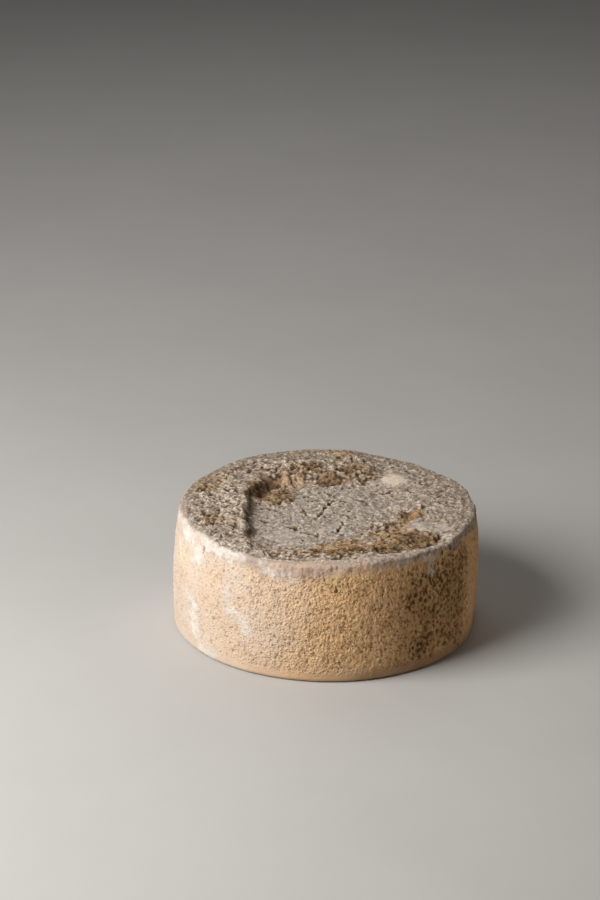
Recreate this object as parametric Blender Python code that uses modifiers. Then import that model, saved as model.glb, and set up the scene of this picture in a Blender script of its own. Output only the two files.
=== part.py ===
"""An aged pecorino: one whole, uncut wheel of hard sheep's cheese.

The wheel is a turned drum with a slight belly, a small round at the foot and a worn rim.
Its upper face has sunk in ripening: a broad hollow with a steep wall on the left and at the back,
which fades out to the right, inside a lumpy ring. Metres, +Z up, origin at the centre of the base.
"""

import math

import bpy
from mathutils import Vector, noise

# Turned form
RIM_HEIGHT = 0.0880
RIM_RADIUS = 0.1048
RIM_ROUND = 0.0028
BELLY_RADIUS = 0.1095
BELLY_HEIGHT = 0.0350
FOOT_RADIUS = 0.1091
FOOT_ROUND = 0.0030

# How finely the half section is cut and turned
TURN_STEPS = 108
FACE_RINGS = 21
ROUND_CUTS = 3
SIDE_CUTS = 10

# Hollow in the upper face: its centre, how far it reaches each way, and how wide its wall is there
HOLLOW_CENTRE = (-0.002, -0.010)
HOLLOW_REACH = {"right": 0.060, "back": 0.060, "left": 0.053, "front": 0.062}
HOLLOW_WALL = {"right": 0.036, "back": 0.016, "left": 0.0075, "front": 0.014}
HOLLOW_SQUARENESS = 3.0
HOLLOW_FRONT_LEFT_SQUARENESS = 8.0
HOLLOW_DEPTH_LEFT = 0.0062
HOLLOW_DEPTH_RIGHT = 0.0034

# Places where the rim has sunk: direction in degrees, half width in degrees, drop
RIM_SAGS = (
    (-112.0, 26.0, 0.0026),
    (-40.0, 17.0, 0.0016),
    (52.0, 22.0, 0.0022),
    (155.0, 26.0, 0.0017),
)
SAG_STARTS = 0.050
SAG_FULL = 0.092

# The side's own unevenness fades in over this run of the face's edge
SIDE_STARTS = 0.0936
SIDE_FULL = RIM_RADIUS - RIM_ROUND

# Lumps (+) and pits (-) of the upper face: x, y, half width, height
FACE_LUMPS = (
    (-0.0465, 0.0275, 0.0062, -0.0024),
    (-0.0405, 0.042, 0.0060, -0.0020),
    (-0.074, -0.006, 0.0150, 0.0012),
    (-0.026, 0.064, 0.0090, 0.0012),
    (0.004, 0.050, 0.0080, -0.0014),
    (0.022, 0.066, 0.0090, 0.0010),
    (0.049, 0.048, 0.0095, 0.0017),
    (0.0585, -0.017, 0.0052, -0.0028),
    (0.065, -0.037, 0.0062, 0.0018),
    (0.062, -0.064, 0.0070, -0.0022),
    (0.0775, -0.054, 0.0045, -0.0016),
    (0.086, -0.057, 0.0070, 0.0014),
    (-0.002, -0.080, 0.0070, -0.0016),
    (0.012, 0.010, 0.0140, 0.0009),
    (-0.049, -0.063, 0.0095, 0.0026),
)

# Lumps of the side: direction in degrees, height, half width, how far it stands out
SIDE_LUMPS = (
    (-34.0, 0.0835, 0.0075, 0.0022),
    (-46.0, 0.0690, 0.0090, -0.0008),
    (-140.0, 0.0780, 0.0120, 0.0006),
    (28.0, 0.0840, 0.0070, 0.0010),
    (-4.0, 0.0800, 0.0300, 0.0012),
    (-10.0, 0.0080, 0.0350, -0.0018),
    (120.0, 0.0500, 0.0180, -0.0007),
    (178.0, 0.0500, 0.0700, -0.0007),
)

# Slow unevenness everywhere
FACE_WAVE = 0.0008
FACE_WAVE_LENGTH = 0.024
SIDE_WAVE = 0.0005
SIDE_WAVE_LENGTH = 0.040
OUT_OF_ROUND = 0.0004

TINY = 1e-9
RIND_COLOUR = (0.62, 0.44, 0.26, 1.0)
RIND_ROUGHNESS = 0.85


def smooth_step(low, high, value):
    """0 below low, 1 above high, with a soft run between."""
    t = min(max((value - low) / (high - low), 0.0), 1.0)
    return t * t * (3.0 - 2.0 * t)


def arc(centre_x, centre_z, radius, start_deg, end_deg, cuts):
    """Points of an arc in the half section, without its first end."""
    points = []
    for i in range(1, cuts + 1):
        angle = math.radians(start_deg + (end_deg - start_deg) * i / cuts)
        points.append((centre_x + radius * math.cos(angle), centre_z + radius * math.sin(angle)))
    return points


def side_radius(height):
    """Radius of the plain turned side, widest at the belly."""
    if height > BELLY_HEIGHT:
        share = (height - BELLY_HEIGHT) / (RIM_HEIGHT - RIM_ROUND - BELLY_HEIGHT)
        return BELLY_RADIUS - (BELLY_RADIUS - RIM_RADIUS) * share ** 2
    share = (BELLY_HEIGHT - height) / (BELLY_HEIGHT - FOOT_ROUND)
    return BELLY_RADIUS - (BELLY_RADIUS - FOOT_RADIUS) * share ** 2


def half_section():
    """Half section from the middle of the upper face, round the outside, to the middle of the base."""
    flat_edge = RIM_RADIUS - RIM_ROUND
    side_top = RIM_HEIGHT - RIM_ROUND
    points = [(flat_edge * i / FACE_RINGS, RIM_HEIGHT) for i in range(FACE_RINGS + 1)]
    points += arc(flat_edge, side_top, RIM_ROUND, 90.0, 0.0, ROUND_CUTS)
    for i in range(1, SIDE_CUTS + 1):
        height = side_top + (FOOT_ROUND - side_top) * i / SIDE_CUTS
        points.append((side_radius(height), height))
    points += arc(FOOT_RADIUS - FOOT_ROUND, FOOT_ROUND, FOOT_ROUND, 0.0, -90.0, ROUND_CUTS)
    points.append((0.0, 0.0))
    return points


def turned_mesh(points):
    """The half section turned once round the vertical axis, as a closed mesh."""
    outline = bpy.data.meshes.new("half_section")
    edges = [(i, i + 1) for i in range(len(points) - 1)]
    outline.from_pydata([(x, 0.0, z) for x, z in points], edges, [])
    carrier = bpy.data.objects.new("half_section", outline)
    bpy.context.scene.collection.objects.link(carrier)

    screw = carrier.modifiers.new("turn", "SCREW")
    screw.axis = "Z"
    screw.angle = 2.0 * math.pi
    screw.steps = TURN_STEPS
    screw.render_steps = TURN_STEPS
    screw.use_merge_vertices = True
    screw.merge_threshold = 0.0001

    bpy.context.view_layer.update()
    seen = carrier.evaluated_get(bpy.context.evaluated_depsgraph_get())
    mesh = bpy.data.meshes.new_from_object(seen)
    bpy.data.objects.remove(carrier)
    bpy.data.meshes.remove(outline)
    return mesh


def hollow_depth(x, y):
    """How far the upper face has sunk at a place, from the hollow alone."""
    dx = x - HOLLOW_CENTRE[0]
    dy = y - HOLLOW_CENTRE[1]
    side = "right" if dx > 0.0 else "left"
    end = "back" if dy > 0.0 else "front"
    across = abs(dx) / HOLLOW_REACH[side]
    along = abs(dy) / HOLLOW_REACH[end]
    squareness = HOLLOW_SQUARENESS
    if side == "left" and end == "front":
        squareness = HOLLOW_FRONT_LEFT_SQUARENESS
    spread = (across ** squareness + along ** squareness) ** (1.0 / squareness)

    share = across ** 2 / max(across ** 2 + along ** 2, TINY)
    wall = share * HOLLOW_WALL[side] / HOLLOW_REACH[side]
    wall += (1.0 - share) * HOLLOW_WALL[end] / HOLLOW_REACH[end]
    inside = 1.0 - smooth_step(1.0 - wall / 2.0, 1.0 + wall / 2.0, spread)

    slope = smooth_step(-HOLLOW_REACH["left"], HOLLOW_REACH["right"], dx)
    floor = HOLLOW_DEPTH_LEFT + (HOLLOW_DEPTH_RIGHT - HOLLOW_DEPTH_LEFT) * slope
    return floor * inside


def rim_drop(angle_deg):
    """How far the rim has sunk in a direction."""
    drop = 0.0
    for centre, half_width, depth in RIM_SAGS:
        away = (angle_deg - centre + 180.0) % 360.0 - 180.0
        drop += depth * math.exp(-((away / half_width) ** 2))
    return drop


def face_offset(x, y):
    """Height of the upper face at a place, over the flat face of the turned form."""
    radius = math.hypot(x, y)
    angle_deg = math.degrees(math.atan2(y, x))
    offset = -hollow_depth(x, y)
    offset -= rim_drop(angle_deg) * smooth_step(SAG_STARTS, SAG_FULL, radius)
    for lump_x, lump_y, half_width, height in FACE_LUMPS:
        apart = math.hypot(x - lump_x, y - lump_y) / half_width
        offset += height * math.exp(-(apart ** 2))
    offset += FACE_WAVE * noise.noise(Vector((x, y, 0.0)) / FACE_WAVE_LENGTH)
    return offset


def side_offset(angle_deg, height):
    """How far the side stands out at a place, over the turned form."""
    angle = math.radians(angle_deg)
    place = Vector((math.cos(angle) * BELLY_RADIUS, math.sin(angle) * BELLY_RADIUS, height))
    offset = SIDE_WAVE * noise.noise(place / SIDE_WAVE_LENGTH)
    offset += OUT_OF_ROUND * math.cos(2.0 * angle)
    for centre, lump_height, half_width, stand in SIDE_LUMPS:
        away = math.radians((angle_deg - centre + 180.0) % 360.0 - 180.0) * BELLY_RADIUS
        apart = math.hypot(away, height - lump_height) / half_width
        offset += stand * math.exp(-(apart ** 2))
    return offset


def weathered(point):
    """Where a point of the turned form lies on the real, uneven wheel."""
    moved = Vector(point)
    radius = math.hypot(point.x, point.y)
    outer = smooth_step(SIDE_STARTS, SIDE_FULL, radius)
    if outer > 0.0:
        angle_deg = math.degrees(math.atan2(point.y, point.x))
        stretch = 1.0 + outer * side_offset(angle_deg, point.z) / radius
        moved.x *= stretch
        moved.y *= stretch
    upper = smooth_step(BELLY_HEIGHT, RIM_HEIGHT - RIM_ROUND, point.z)
    moved.z += face_offset(point.x, point.y) * upper
    return moved


def rind_material():
    """Dry ochre rind."""
    material = bpy.data.materials.new("rind")
    material.use_nodes = True
    shader = material.node_tree.nodes["Principled BSDF"]
    shader.inputs["Base Color"].default_value = RIND_COLOUR
    shader.inputs["Roughness"].default_value = RIND_ROUGHNESS
    shader.inputs["Metallic"].default_value = 0.0
    return material


def make_wheel(collection):
    """The wheel, one solid."""
    mesh = turned_mesh(half_section())
    mesh.name = "wheel"
    for vertex in mesh.vertices:
        vertex.co = weathered(vertex.co)
    mesh.materials.clear()
    mesh.materials.append(rind_material())
    mesh.shade_smooth()
    wheel = bpy.data.objects.new("wheel", mesh)
    collection.objects.link(wheel)
    return wheel


def main():
    for old in list(bpy.data.objects):
        bpy.data.objects.remove(old)
    collection = bpy.data.collections.new("aged_pecorino")
    bpy.context.scene.collection.children.link(collection)
    make_wheel(collection)


main()
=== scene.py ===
from math import cos, pi, radians, sin

import bpy
import numpy as np
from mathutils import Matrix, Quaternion, Vector


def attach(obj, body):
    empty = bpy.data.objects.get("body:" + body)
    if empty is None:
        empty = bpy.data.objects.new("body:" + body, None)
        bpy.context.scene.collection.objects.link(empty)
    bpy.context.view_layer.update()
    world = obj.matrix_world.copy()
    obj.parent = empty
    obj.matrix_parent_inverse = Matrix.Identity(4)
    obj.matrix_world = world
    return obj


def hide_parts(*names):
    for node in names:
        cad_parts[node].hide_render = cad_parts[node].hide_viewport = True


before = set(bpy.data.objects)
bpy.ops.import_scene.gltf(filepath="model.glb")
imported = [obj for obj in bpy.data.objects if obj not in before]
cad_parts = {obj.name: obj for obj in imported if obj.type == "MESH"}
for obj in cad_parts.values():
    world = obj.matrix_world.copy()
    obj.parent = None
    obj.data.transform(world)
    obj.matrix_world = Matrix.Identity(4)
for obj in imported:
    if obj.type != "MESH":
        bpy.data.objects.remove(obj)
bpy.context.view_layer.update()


# ---- soft patterns that the relief and the stains are made of

def hashCells(a, b, c, seed):        # one number from 0 to 1 for each cell of a lattice
    mixed = (a * 374761393 + b * 668265263 + c * 1442695041 + seed * 144665) & 0xFFFFFFFF
    mixed = ((mixed ^ (mixed >> 13)) * 1274126177) & 0xFFFFFFFF
    return ((mixed ^ (mixed >> 16)) & 0xFFFFFF) / 0xFFFFFF


def ease(t):
    return t * t * t * (t * (t * 6 - 15) + 10)


def ramp(low, high, value):          # 0 below low, 1 above high, soft between
    t = np.clip((value - low) / (high - low), 0, 1)
    return t * t * (3 - 2 * t)


def softNoise(x, y, z, size, seed):  # smooth lumps about size wide, from -1 to 1
    x, y, z = x / size, y / size, z / size
    cx, cy, cz = np.floor(x).astype(np.int64), np.floor(y).astype(np.int64), np.floor(z).astype(np.int64)
    fx, fy, fz = x - cx, y - cy, z - cz
    ex, ey, ez = ease(fx), ease(fy), ease(fz)
    total = 0
    for dx in (0, 1):
        for dy in (0, 1):
            for dz in (0, 1):
                turn = hashCells(cx + dx, cy + dy, cz + dz, seed) * 2 * pi
                rise = hashCells(cx + dx, cy + dy, cz + dz, seed + 57) * 2 - 1
                flat = np.sqrt(1 - rise * rise)
                slope = ((fx - dx) * flat * np.cos(turn) + (fy - dy) * flat * np.sin(turn)
                         + (fz - dz) * rise)
                weight = (ex if dx else 1 - ex) * (ey if dy else 1 - ey) * (ez if dz else 1 - ez)
                total = total + slope * weight
    return total * 1.7


def layeredNoise(x, y, z, size, seed, layers=3):
    total = 0
    for layer in range(layers):
        total = total + softNoise(x, y, z, size / 2 ** layer, seed + 11 * layer) / 2 ** layer
    return total


def billows(x, y, z, size, seed):     # round lumps with sharp creases between, from 0 to 1
    return np.minimum(np.abs(softNoise(x, y, z, size, seed)) * 1.25, 1)


def cellPattern(u, v, size, seed, around=0):
    # distance to the nearest seed, in cells, and two numbers of that seed from 0 to 1
    u, v = u / size, v / size
    cu, cv = np.floor(u).astype(np.int64), np.floor(v).astype(np.int64)
    nearest = np.full(u.shape, np.inf)
    own = np.zeros(u.shape)
    other = np.zeros(u.shape)
    for du in (-1, 0, 1):
        for dv in (-1, 0, 1):
            nu, nv = cu + du, cv + dv
            hu = nu % around if around else nu
            pu = nu + 0.5 + 0.8 * (hashCells(hu, nv, 1, seed) - 0.5)
            pv = nv + 0.5 + 0.8 * (hashCells(hu, nv, 2, seed) - 0.5)
            away = np.hypot(u - pu, v - pv)
            closer = away < nearest
            own = np.where(closer, hashCells(hu, nv, 3, seed), own)
            other = np.where(closer, hashCells(hu, nv, 4, seed), other)
            nearest = np.minimum(nearest, away)
    return nearest, own, other


def crumbs(x, y, size, seed, share):  # scattered round lumps of uneven size and height, from 0 to 1
    nearest, own, other = cellPattern(x, y, size, seed)
    dome = np.clip(1 - (nearest / (0.38 + 0.36 * other)) ** 2, 0, 1) ** 0.7
    return dome * ramp(1 - share, 1.3 - share, own) * (0.55 + 0.45 * own)


def awayFromLine(x, y, corners):     # distance from each place to a line through the corners
    nearest = np.full(x.shape, np.inf)
    for (ax, ay), (bx, by) in zip(corners, corners[1:]):
        dx, dy = bx - ax, by - ay
        t = np.clip(((x - ax) * dx + (y - ay) * dy) / (dx * dx + dy * dy), 0, 1)
        nearest = np.minimum(nearest, np.hypot(x - ax - t * dx, y - ay - t * dy))
    return nearest


def turnedAway(angle, centre):       # signed degrees from a direction, the short way round
    return (angle - centre + 180) % 360 - 180


# ---- the wheel's slow form: a turned drum that has sunk and slumped

wheel = {
    "rimHeight": 0.0880, "rimRadius": 0.1048, "rimRound": 0.0028,
    "bellyRadius": 0.1095, "bellyHeight": 0.0350,
    "footRadius": 0.1091, "footRound": 0.0030,
    "faceWave": 0.0008, "faceWaveSize": 0.024,
    "sideWave": 0.0005, "sideWaveSize": 0.040, "outOfRound": 0.0004,
    "lipLump": 0.00055, "sideStarts": 0.0936, "sagStarts": 0.050, "sagFull": 0.092,
    "rimSags": [(-112, 26, 0.0026), (-40, 17, 0.0016), (52, 22, 0.0022), (155, 26, 0.0017)],
    "sideLumps": [(-34, 0.0835, 0.0075, 0.0022), (-46, 0.0690, 0.0090, -0.0008),
                  (-140, 0.0780, 0.0120, 0.0006), (28, 0.0840, 0.0070, 0.0010),
                  (-4, 0.0800, 0.0300, 0.0012), (-10, 0.0080, 0.0350, -0.0018),
                  (120, 0.0500, 0.0180, -0.0007), (178, 0.0500, 0.0700, -0.0007)],
}

flatEdge = wheel["rimRadius"] - wheel["rimRound"]    # the rim's round runs from here
sideTop = wheel["rimHeight"] - wheel["rimRound"]     # down to here

hollow = {
    "centre": (-0.002, -0.010), "square": 3.0, "squareFrontLeft": 8.0,
    "reach": {"right": 0.060, "back": 0.060, "left": 0.053, "front": 0.062},
    "wall": {"right": 0.036, "back": 0.016, "left": 0.0075, "front": 0.014},
    "depthLeft": 0.0062, "depthRight": 0.0034,
    "wander": 0.0030,                # how far the edge strays from its plain outline
}

faceLumps = [                        # x, y, half width, height
    (-0.0465, 0.0275, 0.0062, -0.0024), (-0.0405, 0.042, 0.0060, -0.0020), (-0.074, -0.006, 0.0150, 0.0012),
    (-0.026, 0.064, 0.0090, 0.0012), (0.004, 0.050, 0.0080, -0.0014),
    (0.022, 0.066, 0.0090, 0.0010), (0.049, 0.048, 0.0095, 0.0017),
    (0.0585, -0.017, 0.0052, -0.0028), (0.065, -0.037, 0.0062, 0.0018),
    (0.062, -0.064, 0.0070, -0.0022), (0.0775, -0.054, 0.0045, -0.0016),
    (0.086, -0.057, 0.0070, 0.0014), (-0.002, -0.080, 0.0070, -0.0016),
    (0.012, 0.010, 0.0140, 0.0009), (-0.049, -0.063, 0.0095, 0.0026),
]


def hollowShare(x, y):               # 1 on the hollow's floor, 0 outside it
    stray = hollow["wander"] * layeredNoise(x, y, x * 0, 0.017, 5)
    dx, dy = x - hollow["centre"][0], y - hollow["centre"][1]
    reach, wall = hollow["reach"], hollow["wall"]
    reachX = np.where(dx > 0, reach["right"], reach["left"]) + stray
    reachY = np.where(dy > 0, reach["back"], reach["front"]) + stray
    across, along = np.abs(dx) / reachX, np.abs(dy) / reachY
    square = np.where((dx < 0) & (dy < 0), hollow["squareFrontLeft"], hollow["square"])
    spread = (across ** square + along ** square) ** (1 / square)
    share = across ** 2 / np.maximum(across ** 2 + along ** 2, 1e-9)
    width = share * np.where(dx > 0, wall["right"], wall["left"]) / reachX
    width += (1 - share) * np.where(dy > 0, wall["back"], wall["front"]) / reachY
    return 1 - ramp(1 - width / 2, 1 + width / 2, spread)


def faceHeight(x, y):                # the upper face before its crust's own grain
    angle = np.degrees(np.arctan2(y, x))
    radius = np.hypot(x, y)
    slope = ramp(-hollow["reach"]["left"], hollow["reach"]["right"], x - hollow["centre"][0])
    floor = hollow["depthLeft"] + (hollow["depthRight"] - hollow["depthLeft"]) * slope
    height = wheel["rimHeight"] - floor * hollowShare(x, y)
    for centre, halfWidth, drop in wheel["rimSags"]:
        sag = drop * np.exp(-(turnedAway(angle, centre) / halfWidth) ** 2)
        height -= sag * ramp(wheel["sagStarts"], wheel["sagFull"], radius)
    for lumpX, lumpY, halfWidth, lift in faceLumps:
        height += lift * np.exp(-(np.hypot(x - lumpX, y - lumpY) / halfWidth) ** 2)
    return height + wheel["faceWave"] * softNoise(x, y, x * 0, wheel["faceWaveSize"], 21)


def sideStand(angle, height):        # how far the side stands out over the turned form
    turn = np.radians(angle)
    x, y = np.cos(turn) * wheel["bellyRadius"], np.sin(turn) * wheel["bellyRadius"]
    stand = wheel["sideWave"] * softNoise(x, y, height, wheel["sideWaveSize"], 33)
    stand += wheel["outOfRound"] * np.cos(2 * turn)
    for centre, lumpHeight, halfWidth, lift in wheel["sideLumps"]:
        away = np.radians(turnedAway(angle, centre)) * wheel["bellyRadius"]
        stand += lift * np.exp(-(np.hypot(away, height - lumpHeight) / halfWidth) ** 2)
    return stand


def sideShift(angle, height, radius):   # the same, fading in over the edge of the face
    return sideStand(angle, height) * ramp(wheel["sideStarts"], flatEdge, radius)


def sideRadius(height):
    above = (height - wheel["bellyHeight"]) / (sideTop - wheel["bellyHeight"])
    below = (wheel["bellyHeight"] - height) / (wheel["bellyHeight"] - wheel["footRound"])
    upper = wheel["bellyRadius"] - (wheel["bellyRadius"] - wheel["rimRadius"]) * above ** 2
    lower = wheel["bellyRadius"] - (wheel["bellyRadius"] - wheel["footRadius"]) * below ** 2
    return np.where(height > wheel["bellyHeight"], upper, lower)


def lipCrumbs(u, v, x, y, z):         # crumbs of the grey mould on the rim, shared by rind and crust
    lumps = 0.9 * crumbs(u, v, 0.0040, 121, 0.85) + 0.6 * crumbs(u, v, 0.0022, 122, 0.80) - 0.30
    return lumps + 0.5 * layeredNoise(x, y, z, 0.0035, 126, 2)


# ---- mesh helpers

def meshPiece(name, points, faces, masks, material):
    mesh = bpy.data.meshes.new(name)
    mesh.from_pydata(points, [], faces)
    mesh.shade_smooth()
    for maskName, values in masks.items():
        attribute = mesh.attributes.new(maskName, "FLOAT", "POINT")
        attribute.data.foreach_set("value", np.asarray(values, dtype=np.float32))
    mesh.materials.append(material)
    piece = bpy.data.objects.new(name, mesh)
    bpy.context.scene.collection.objects.link(piece)
    triangles = sum(len(p.vertices) - 2 for p in mesh.polygons)
    print(name, "has", len(mesh.vertices), "points and", triangles, "triangles")
    return piece


def setBakeMap(piece, cornerU, cornerV):   # one (u, v) for each corner of each face
    layer = piece.data.uv_layers.new(name="OFBake")
    flat = np.empty(len(cornerU) * 2, dtype=np.float32)
    flat[0::2], flat[1::2] = cornerU, cornerV
    layer.data.foreach_set("uv", flat)


# ---- node helpers and the groups that more than one material uses

white = (1, 1, 1, 1)


def addNode(tree, kind, **settings):
    node = tree.nodes.new(kind)
    for key, value in settings.items():
        setattr(node, key, value)
    return node


def feed(tree, socket, source):      # a node's output, or a plain value
    if isinstance(source, bpy.types.NodeSocket):
        tree.links.new(source, socket)
    else:
        socket.default_value = source


def mathNode(tree, operation, *sources, kind="ShaderNodeMath"):
    node = addNode(tree, kind, operation=operation)
    for socket, source in zip(node.inputs, sources):
        feed(tree, socket, source)
    return node.outputs[0]


def mixColour(tree, factor, first, second):
    node = addNode(tree, "ShaderNodeMix", data_type="RGBA")
    for name, source in (("Factor", factor), ("A", first), ("B", second)):
        feed(tree, node.inputs[name], source)
    return node.outputs["Result"]


def rangeNode(tree, value, low, high, outLow=0.0, outHigh=1.0):
    node = addNode(tree, "ShaderNodeMapRange", interpolation_type="SMOOTHSTEP")
    for name, source in (("Value", value), ("From Min", low), ("From Max", high), ("To Min", outLow),
                         ("To Max", outHigh)):
        feed(tree, node.inputs[name], source)
    return node.outputs["Result"]


def noiseNode(tree, place, scale, detail=2.0, roughness=0.5):
    node = addNode(tree, "ShaderNodeTexNoise")
    for name, source in (("Vector", place), ("Scale", scale), ("Detail", detail), ("Roughness", roughness)):
        feed(tree, node.inputs[name], source)
    return node.outputs


def cellNode(tree, place, scale):
    node = addNode(tree, "ShaderNodeTexVoronoi", feature="F1")
    feed(tree, node.inputs["Vector"], place)
    feed(tree, node.inputs["Scale"], scale)
    return node.outputs


def maskNode(tree, name):
    return addNode(tree, "ShaderNodeAttribute", attribute_name=name).outputs["Fac"]


def ownPlace(tree):
    return addNode(tree, "ShaderNodeTexCoord").outputs["Object"]


def perMetre(tree, size):            # the scale that makes a pattern this size
    return mathNode(tree, "DIVIDE", 1.0, size)


def bentPlace(tree, place, scale, shift, detail=2.0):   # places moved a little by a fine noise
    return mathNode(tree, "MULTIPLY_ADD", noiseNode(tree, place, scale, detail)["Color"], shift, place,
                    kind="ShaderNodeVectorMath")


def newGroup(name, inputs, outputs):  # an input that starts white is a colour, any other a number
    group = bpy.data.node_groups.new(name, "ShaderNodeTree")
    for socketName, value in inputs.items():
        kind = "NodeSocketColor" if value == white else "NodeSocketFloat"
        group.interface.new_socket(socketName, in_out="INPUT", socket_type=kind).default_value = value
    for socketName in outputs:
        kind = "NodeSocketColor" if socketName == "Color" else "NodeSocketFloat"
        group.interface.new_socket(socketName, in_out="OUTPUT", socket_type=kind)
    return group, addNode(group, "NodeGroupInput").outputs, addNode(group, "NodeGroupOutput").inputs


def placeGroup(tree, group, **values):
    node = addNode(tree, "ShaderNodeGroup", node_tree=group)
    for key, value in values.items():
        feed(tree, node.inputs[key], value)
    return node.outputs


def layOut(tree):                    # nodes in columns, so that the tree reads from left to right
    depth, filled = {}, {}

    def reach(node, level):
        if level > depth.get(node.name, -1):
            depth[node.name] = level
            for socket in node.inputs:
                for link in socket.links:
                    reach(link.from_node, level + 1)

    for node in tree.nodes:
        if not any(socket.is_linked for socket in node.outputs):
            reach(node, 0)
    for node in tree.nodes:
        level = depth[node.name]
        node.location = (-240 * level, -280 * filled.get(level, 0))
        filled[level] = filled.get(level, 0) + 1


def makeSpeckleGroup():              # small dots and flecks, from noise cut at a level
    group, given, result = newGroup("mouldSpeckle", {"Size": 0.001, "Cover": 0.4, "Edge": 0.08}, ["Mask"])
    noise = noiseNode(group, ownPlace(group), perMetre(group, given["Size"]), 3.0, 0.62)
    level = mathNode(group, "MULTIPLY_ADD", given["Cover"], -0.4, 0.70)
    low = mathNode(group, "SUBTRACT", level, given["Edge"])
    high = mathNode(group, "ADD", level, given["Edge"])
    feed(group, result["Mask"], rangeNode(group, noise["Fac"], low, high))
    return group


def makePowderGroup():               # frays the edge of a patch of powder and thins it out
    group, given, result = newGroup("powderPatch", {"Patch": 0.0, "Size": 0.004, "Fray": 0.6, "Edge": 0.2},
                                    ["Mask"])
    noise = noiseNode(group, ownPlace(group), perMetre(group, given["Size"]), 4.0, 0.65)
    stray = mathNode(group, "MULTIPLY", mathNode(group, "SUBTRACT", noise["Fac"], 0.5), given["Fray"])
    frayed = mathNode(group, "ADD", given["Patch"], stray)
    low = mathNode(group, "SUBTRACT", 0.5, given["Edge"])
    high = mathNode(group, "ADD", 0.5, given["Edge"])
    feed(group, result["Mask"], rangeNode(group, frayed, low, high))
    return group


def makeDriftGroup():                # slow change between two shades of one colour
    group, given, result = newGroup("shadeDrift", {"One": white, "Two": white, "Size": 0.02}, ["Color"])
    noise = noiseNode(group, ownPlace(group), perMetre(group, given["Size"]), 5.0, 0.6)
    share = rangeNode(group, noise["Fac"], 0.35, 0.65)
    feed(group, result["Color"], mixColour(group, share, given["One"], given["Two"]))
    return group


def makeGrainGroup():                # fine dry grain, as a height
    group, given, result = newGroup("dryGrain", {"Size": 0.0008, "Pits": 0.4}, ["Height"])
    place, scale = ownPlace(group), perMetre(group, given["Size"])
    dimple = rangeNode(group, cellNode(group, place, scale)["Distance"], 0.05, 0.45)
    dimpled = mathNode(group, "MULTIPLY", dimple, given["Pits"])
    noise = noiseNode(group, place, scale, 4.0, 0.6)
    feed(group, result["Height"], mathNode(group, "ADD", noise["Fac"], dimpled))
    return group


def makeCrustToneGroup():            # grey mould: cool, warm and pale areas run into each other
    group, given, result = newGroup(
        "crustTone", {"Cool": white, "Warm": white, "Pale": white, "Patch Size": 0.012, "Grain Size": 0.003},
        ["Color"])
    place, tone = ownPlace(group), given["Cool"]
    for size, low, high, other in (("Patch Size", 0.40, 0.62, "Warm"), ("Grain Size", 0.46, 0.68, "Pale")):
        noise = noiseNode(group, place, perMetre(group, given[size]), 5.0, 0.65)
        tone = mixColour(group, rangeNode(group, noise["Fac"], low, high), tone, given[other])
    feed(group, result["Color"], tone)
    return group


def makePeelGroup():                 # fine pebbles with pits between, as a height and as a share of painted shade in the pits
    group, given, result = newGroup("finePebbles", {"Size": 0.0018, "Lively": 1.0}, ["Height", "Pits"])
    place, scale = ownPlace(group), perMetre(group, given["Size"])
    cells = cellNode(group, bentPlace(group, place, 420.0, (0.0012, 0.0012, 0.0012)), scale)
    dome = rangeNode(group, cells["Distance"], 0.0, 0.75, 1.0, 0.0)
    holes = cellNode(group, place, mathNode(group, "MULTIPLY", scale, 0.62))
    pits = mathNode(group, "MULTIPLY", rangeNode(group, holes["Distance"], 0.12, 0.36, 1.0, 0.0),
                    rangeNode(group, holes["Color"], 0.42, 0.50))
    height = mathNode(group, "MULTIPLY_ADD", noiseNode(group, place, scale)["Fac"], 0.4, dome)
    height = mathNode(group, "SUBTRACT", height, pits)
    feed(group, result["Height"], mathNode(group, "MULTIPLY", height, given["Lively"]))
    feed(group, result["Pits"], mathNode(group, "MULTIPLY", pits, given["Lively"]))
    return group


def makeEatenGroup():                # upright dark pits where mould has eaten into the rind
    group, given, result = newGroup("eatenPits", {"Size": 0.003, "Tall": 1.8, "Eaten": 0.0}, ["Mask"])
    squeeze = addNode(group, "ShaderNodeCombineXYZ")
    for axis, share in (("X", 1.0), ("Y", 1.0), ("Z", mathNode(group, "DIVIDE", 1.0, given["Tall"]))):
        feed(group, squeeze.inputs[axis], share)
    bent = bentPlace(group, ownPlace(group), 380.0, (0.0012, 0.0012, 0.0020), 3.0)
    place = mathNode(group, "MULTIPLY", bent, squeeze.outputs["Vector"], kind="ShaderNodeVectorMath")
    cells = cellNode(group, place, perMetre(group, given["Size"]))
    parts = addNode(group, "ShaderNodeSeparateColor")
    feed(group, parts.inputs["Color"], cells["Color"])
    reach = mathNode(group, "MULTIPLY_ADD", parts.outputs["Green"], 0.26, 0.24)
    inner = mathNode(group, "MULTIPLY", reach, 0.62)
    pit = rangeNode(group, cells["Distance"], inner, reach, 1.0, 0.0)
    level = mathNode(group, "MULTIPLY_ADD", given["Eaten"], -0.90, 1.02)
    kept = rangeNode(group, parts.outputs["Red"], level, mathNode(group, "ADD", level, 0.05))
    feed(group, result["Mask"], mathNode(group, "MULTIPLY", pit, kept))
    return group


eatenGroup = makeEatenGroup()
peelGroup = makePeelGroup()
speckleGroup = makeSpeckleGroup()
crustToneGroup = makeCrustToneGroup()
powderGroup = makePowderGroup()
driftGroup = makeDriftGroup()
grainGroup = makeGrainGroup()
for built in (eatenGroup, peelGroup, speckleGroup, crustToneGroup, powderGroup, driftGroup, grainGroup):
    layOut(built)
print("shared node groups built")


def startMaterial(name, roughness, specular):
    material = bpy.data.materials.new(name)
    material.use_nodes = True
    shader = material.node_tree.nodes["Principled BSDF"].inputs
    shader["Roughness"].default_value = roughness
    shader["Specular IOR Level"].default_value = specular
    return material, material.node_tree, shader


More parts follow.
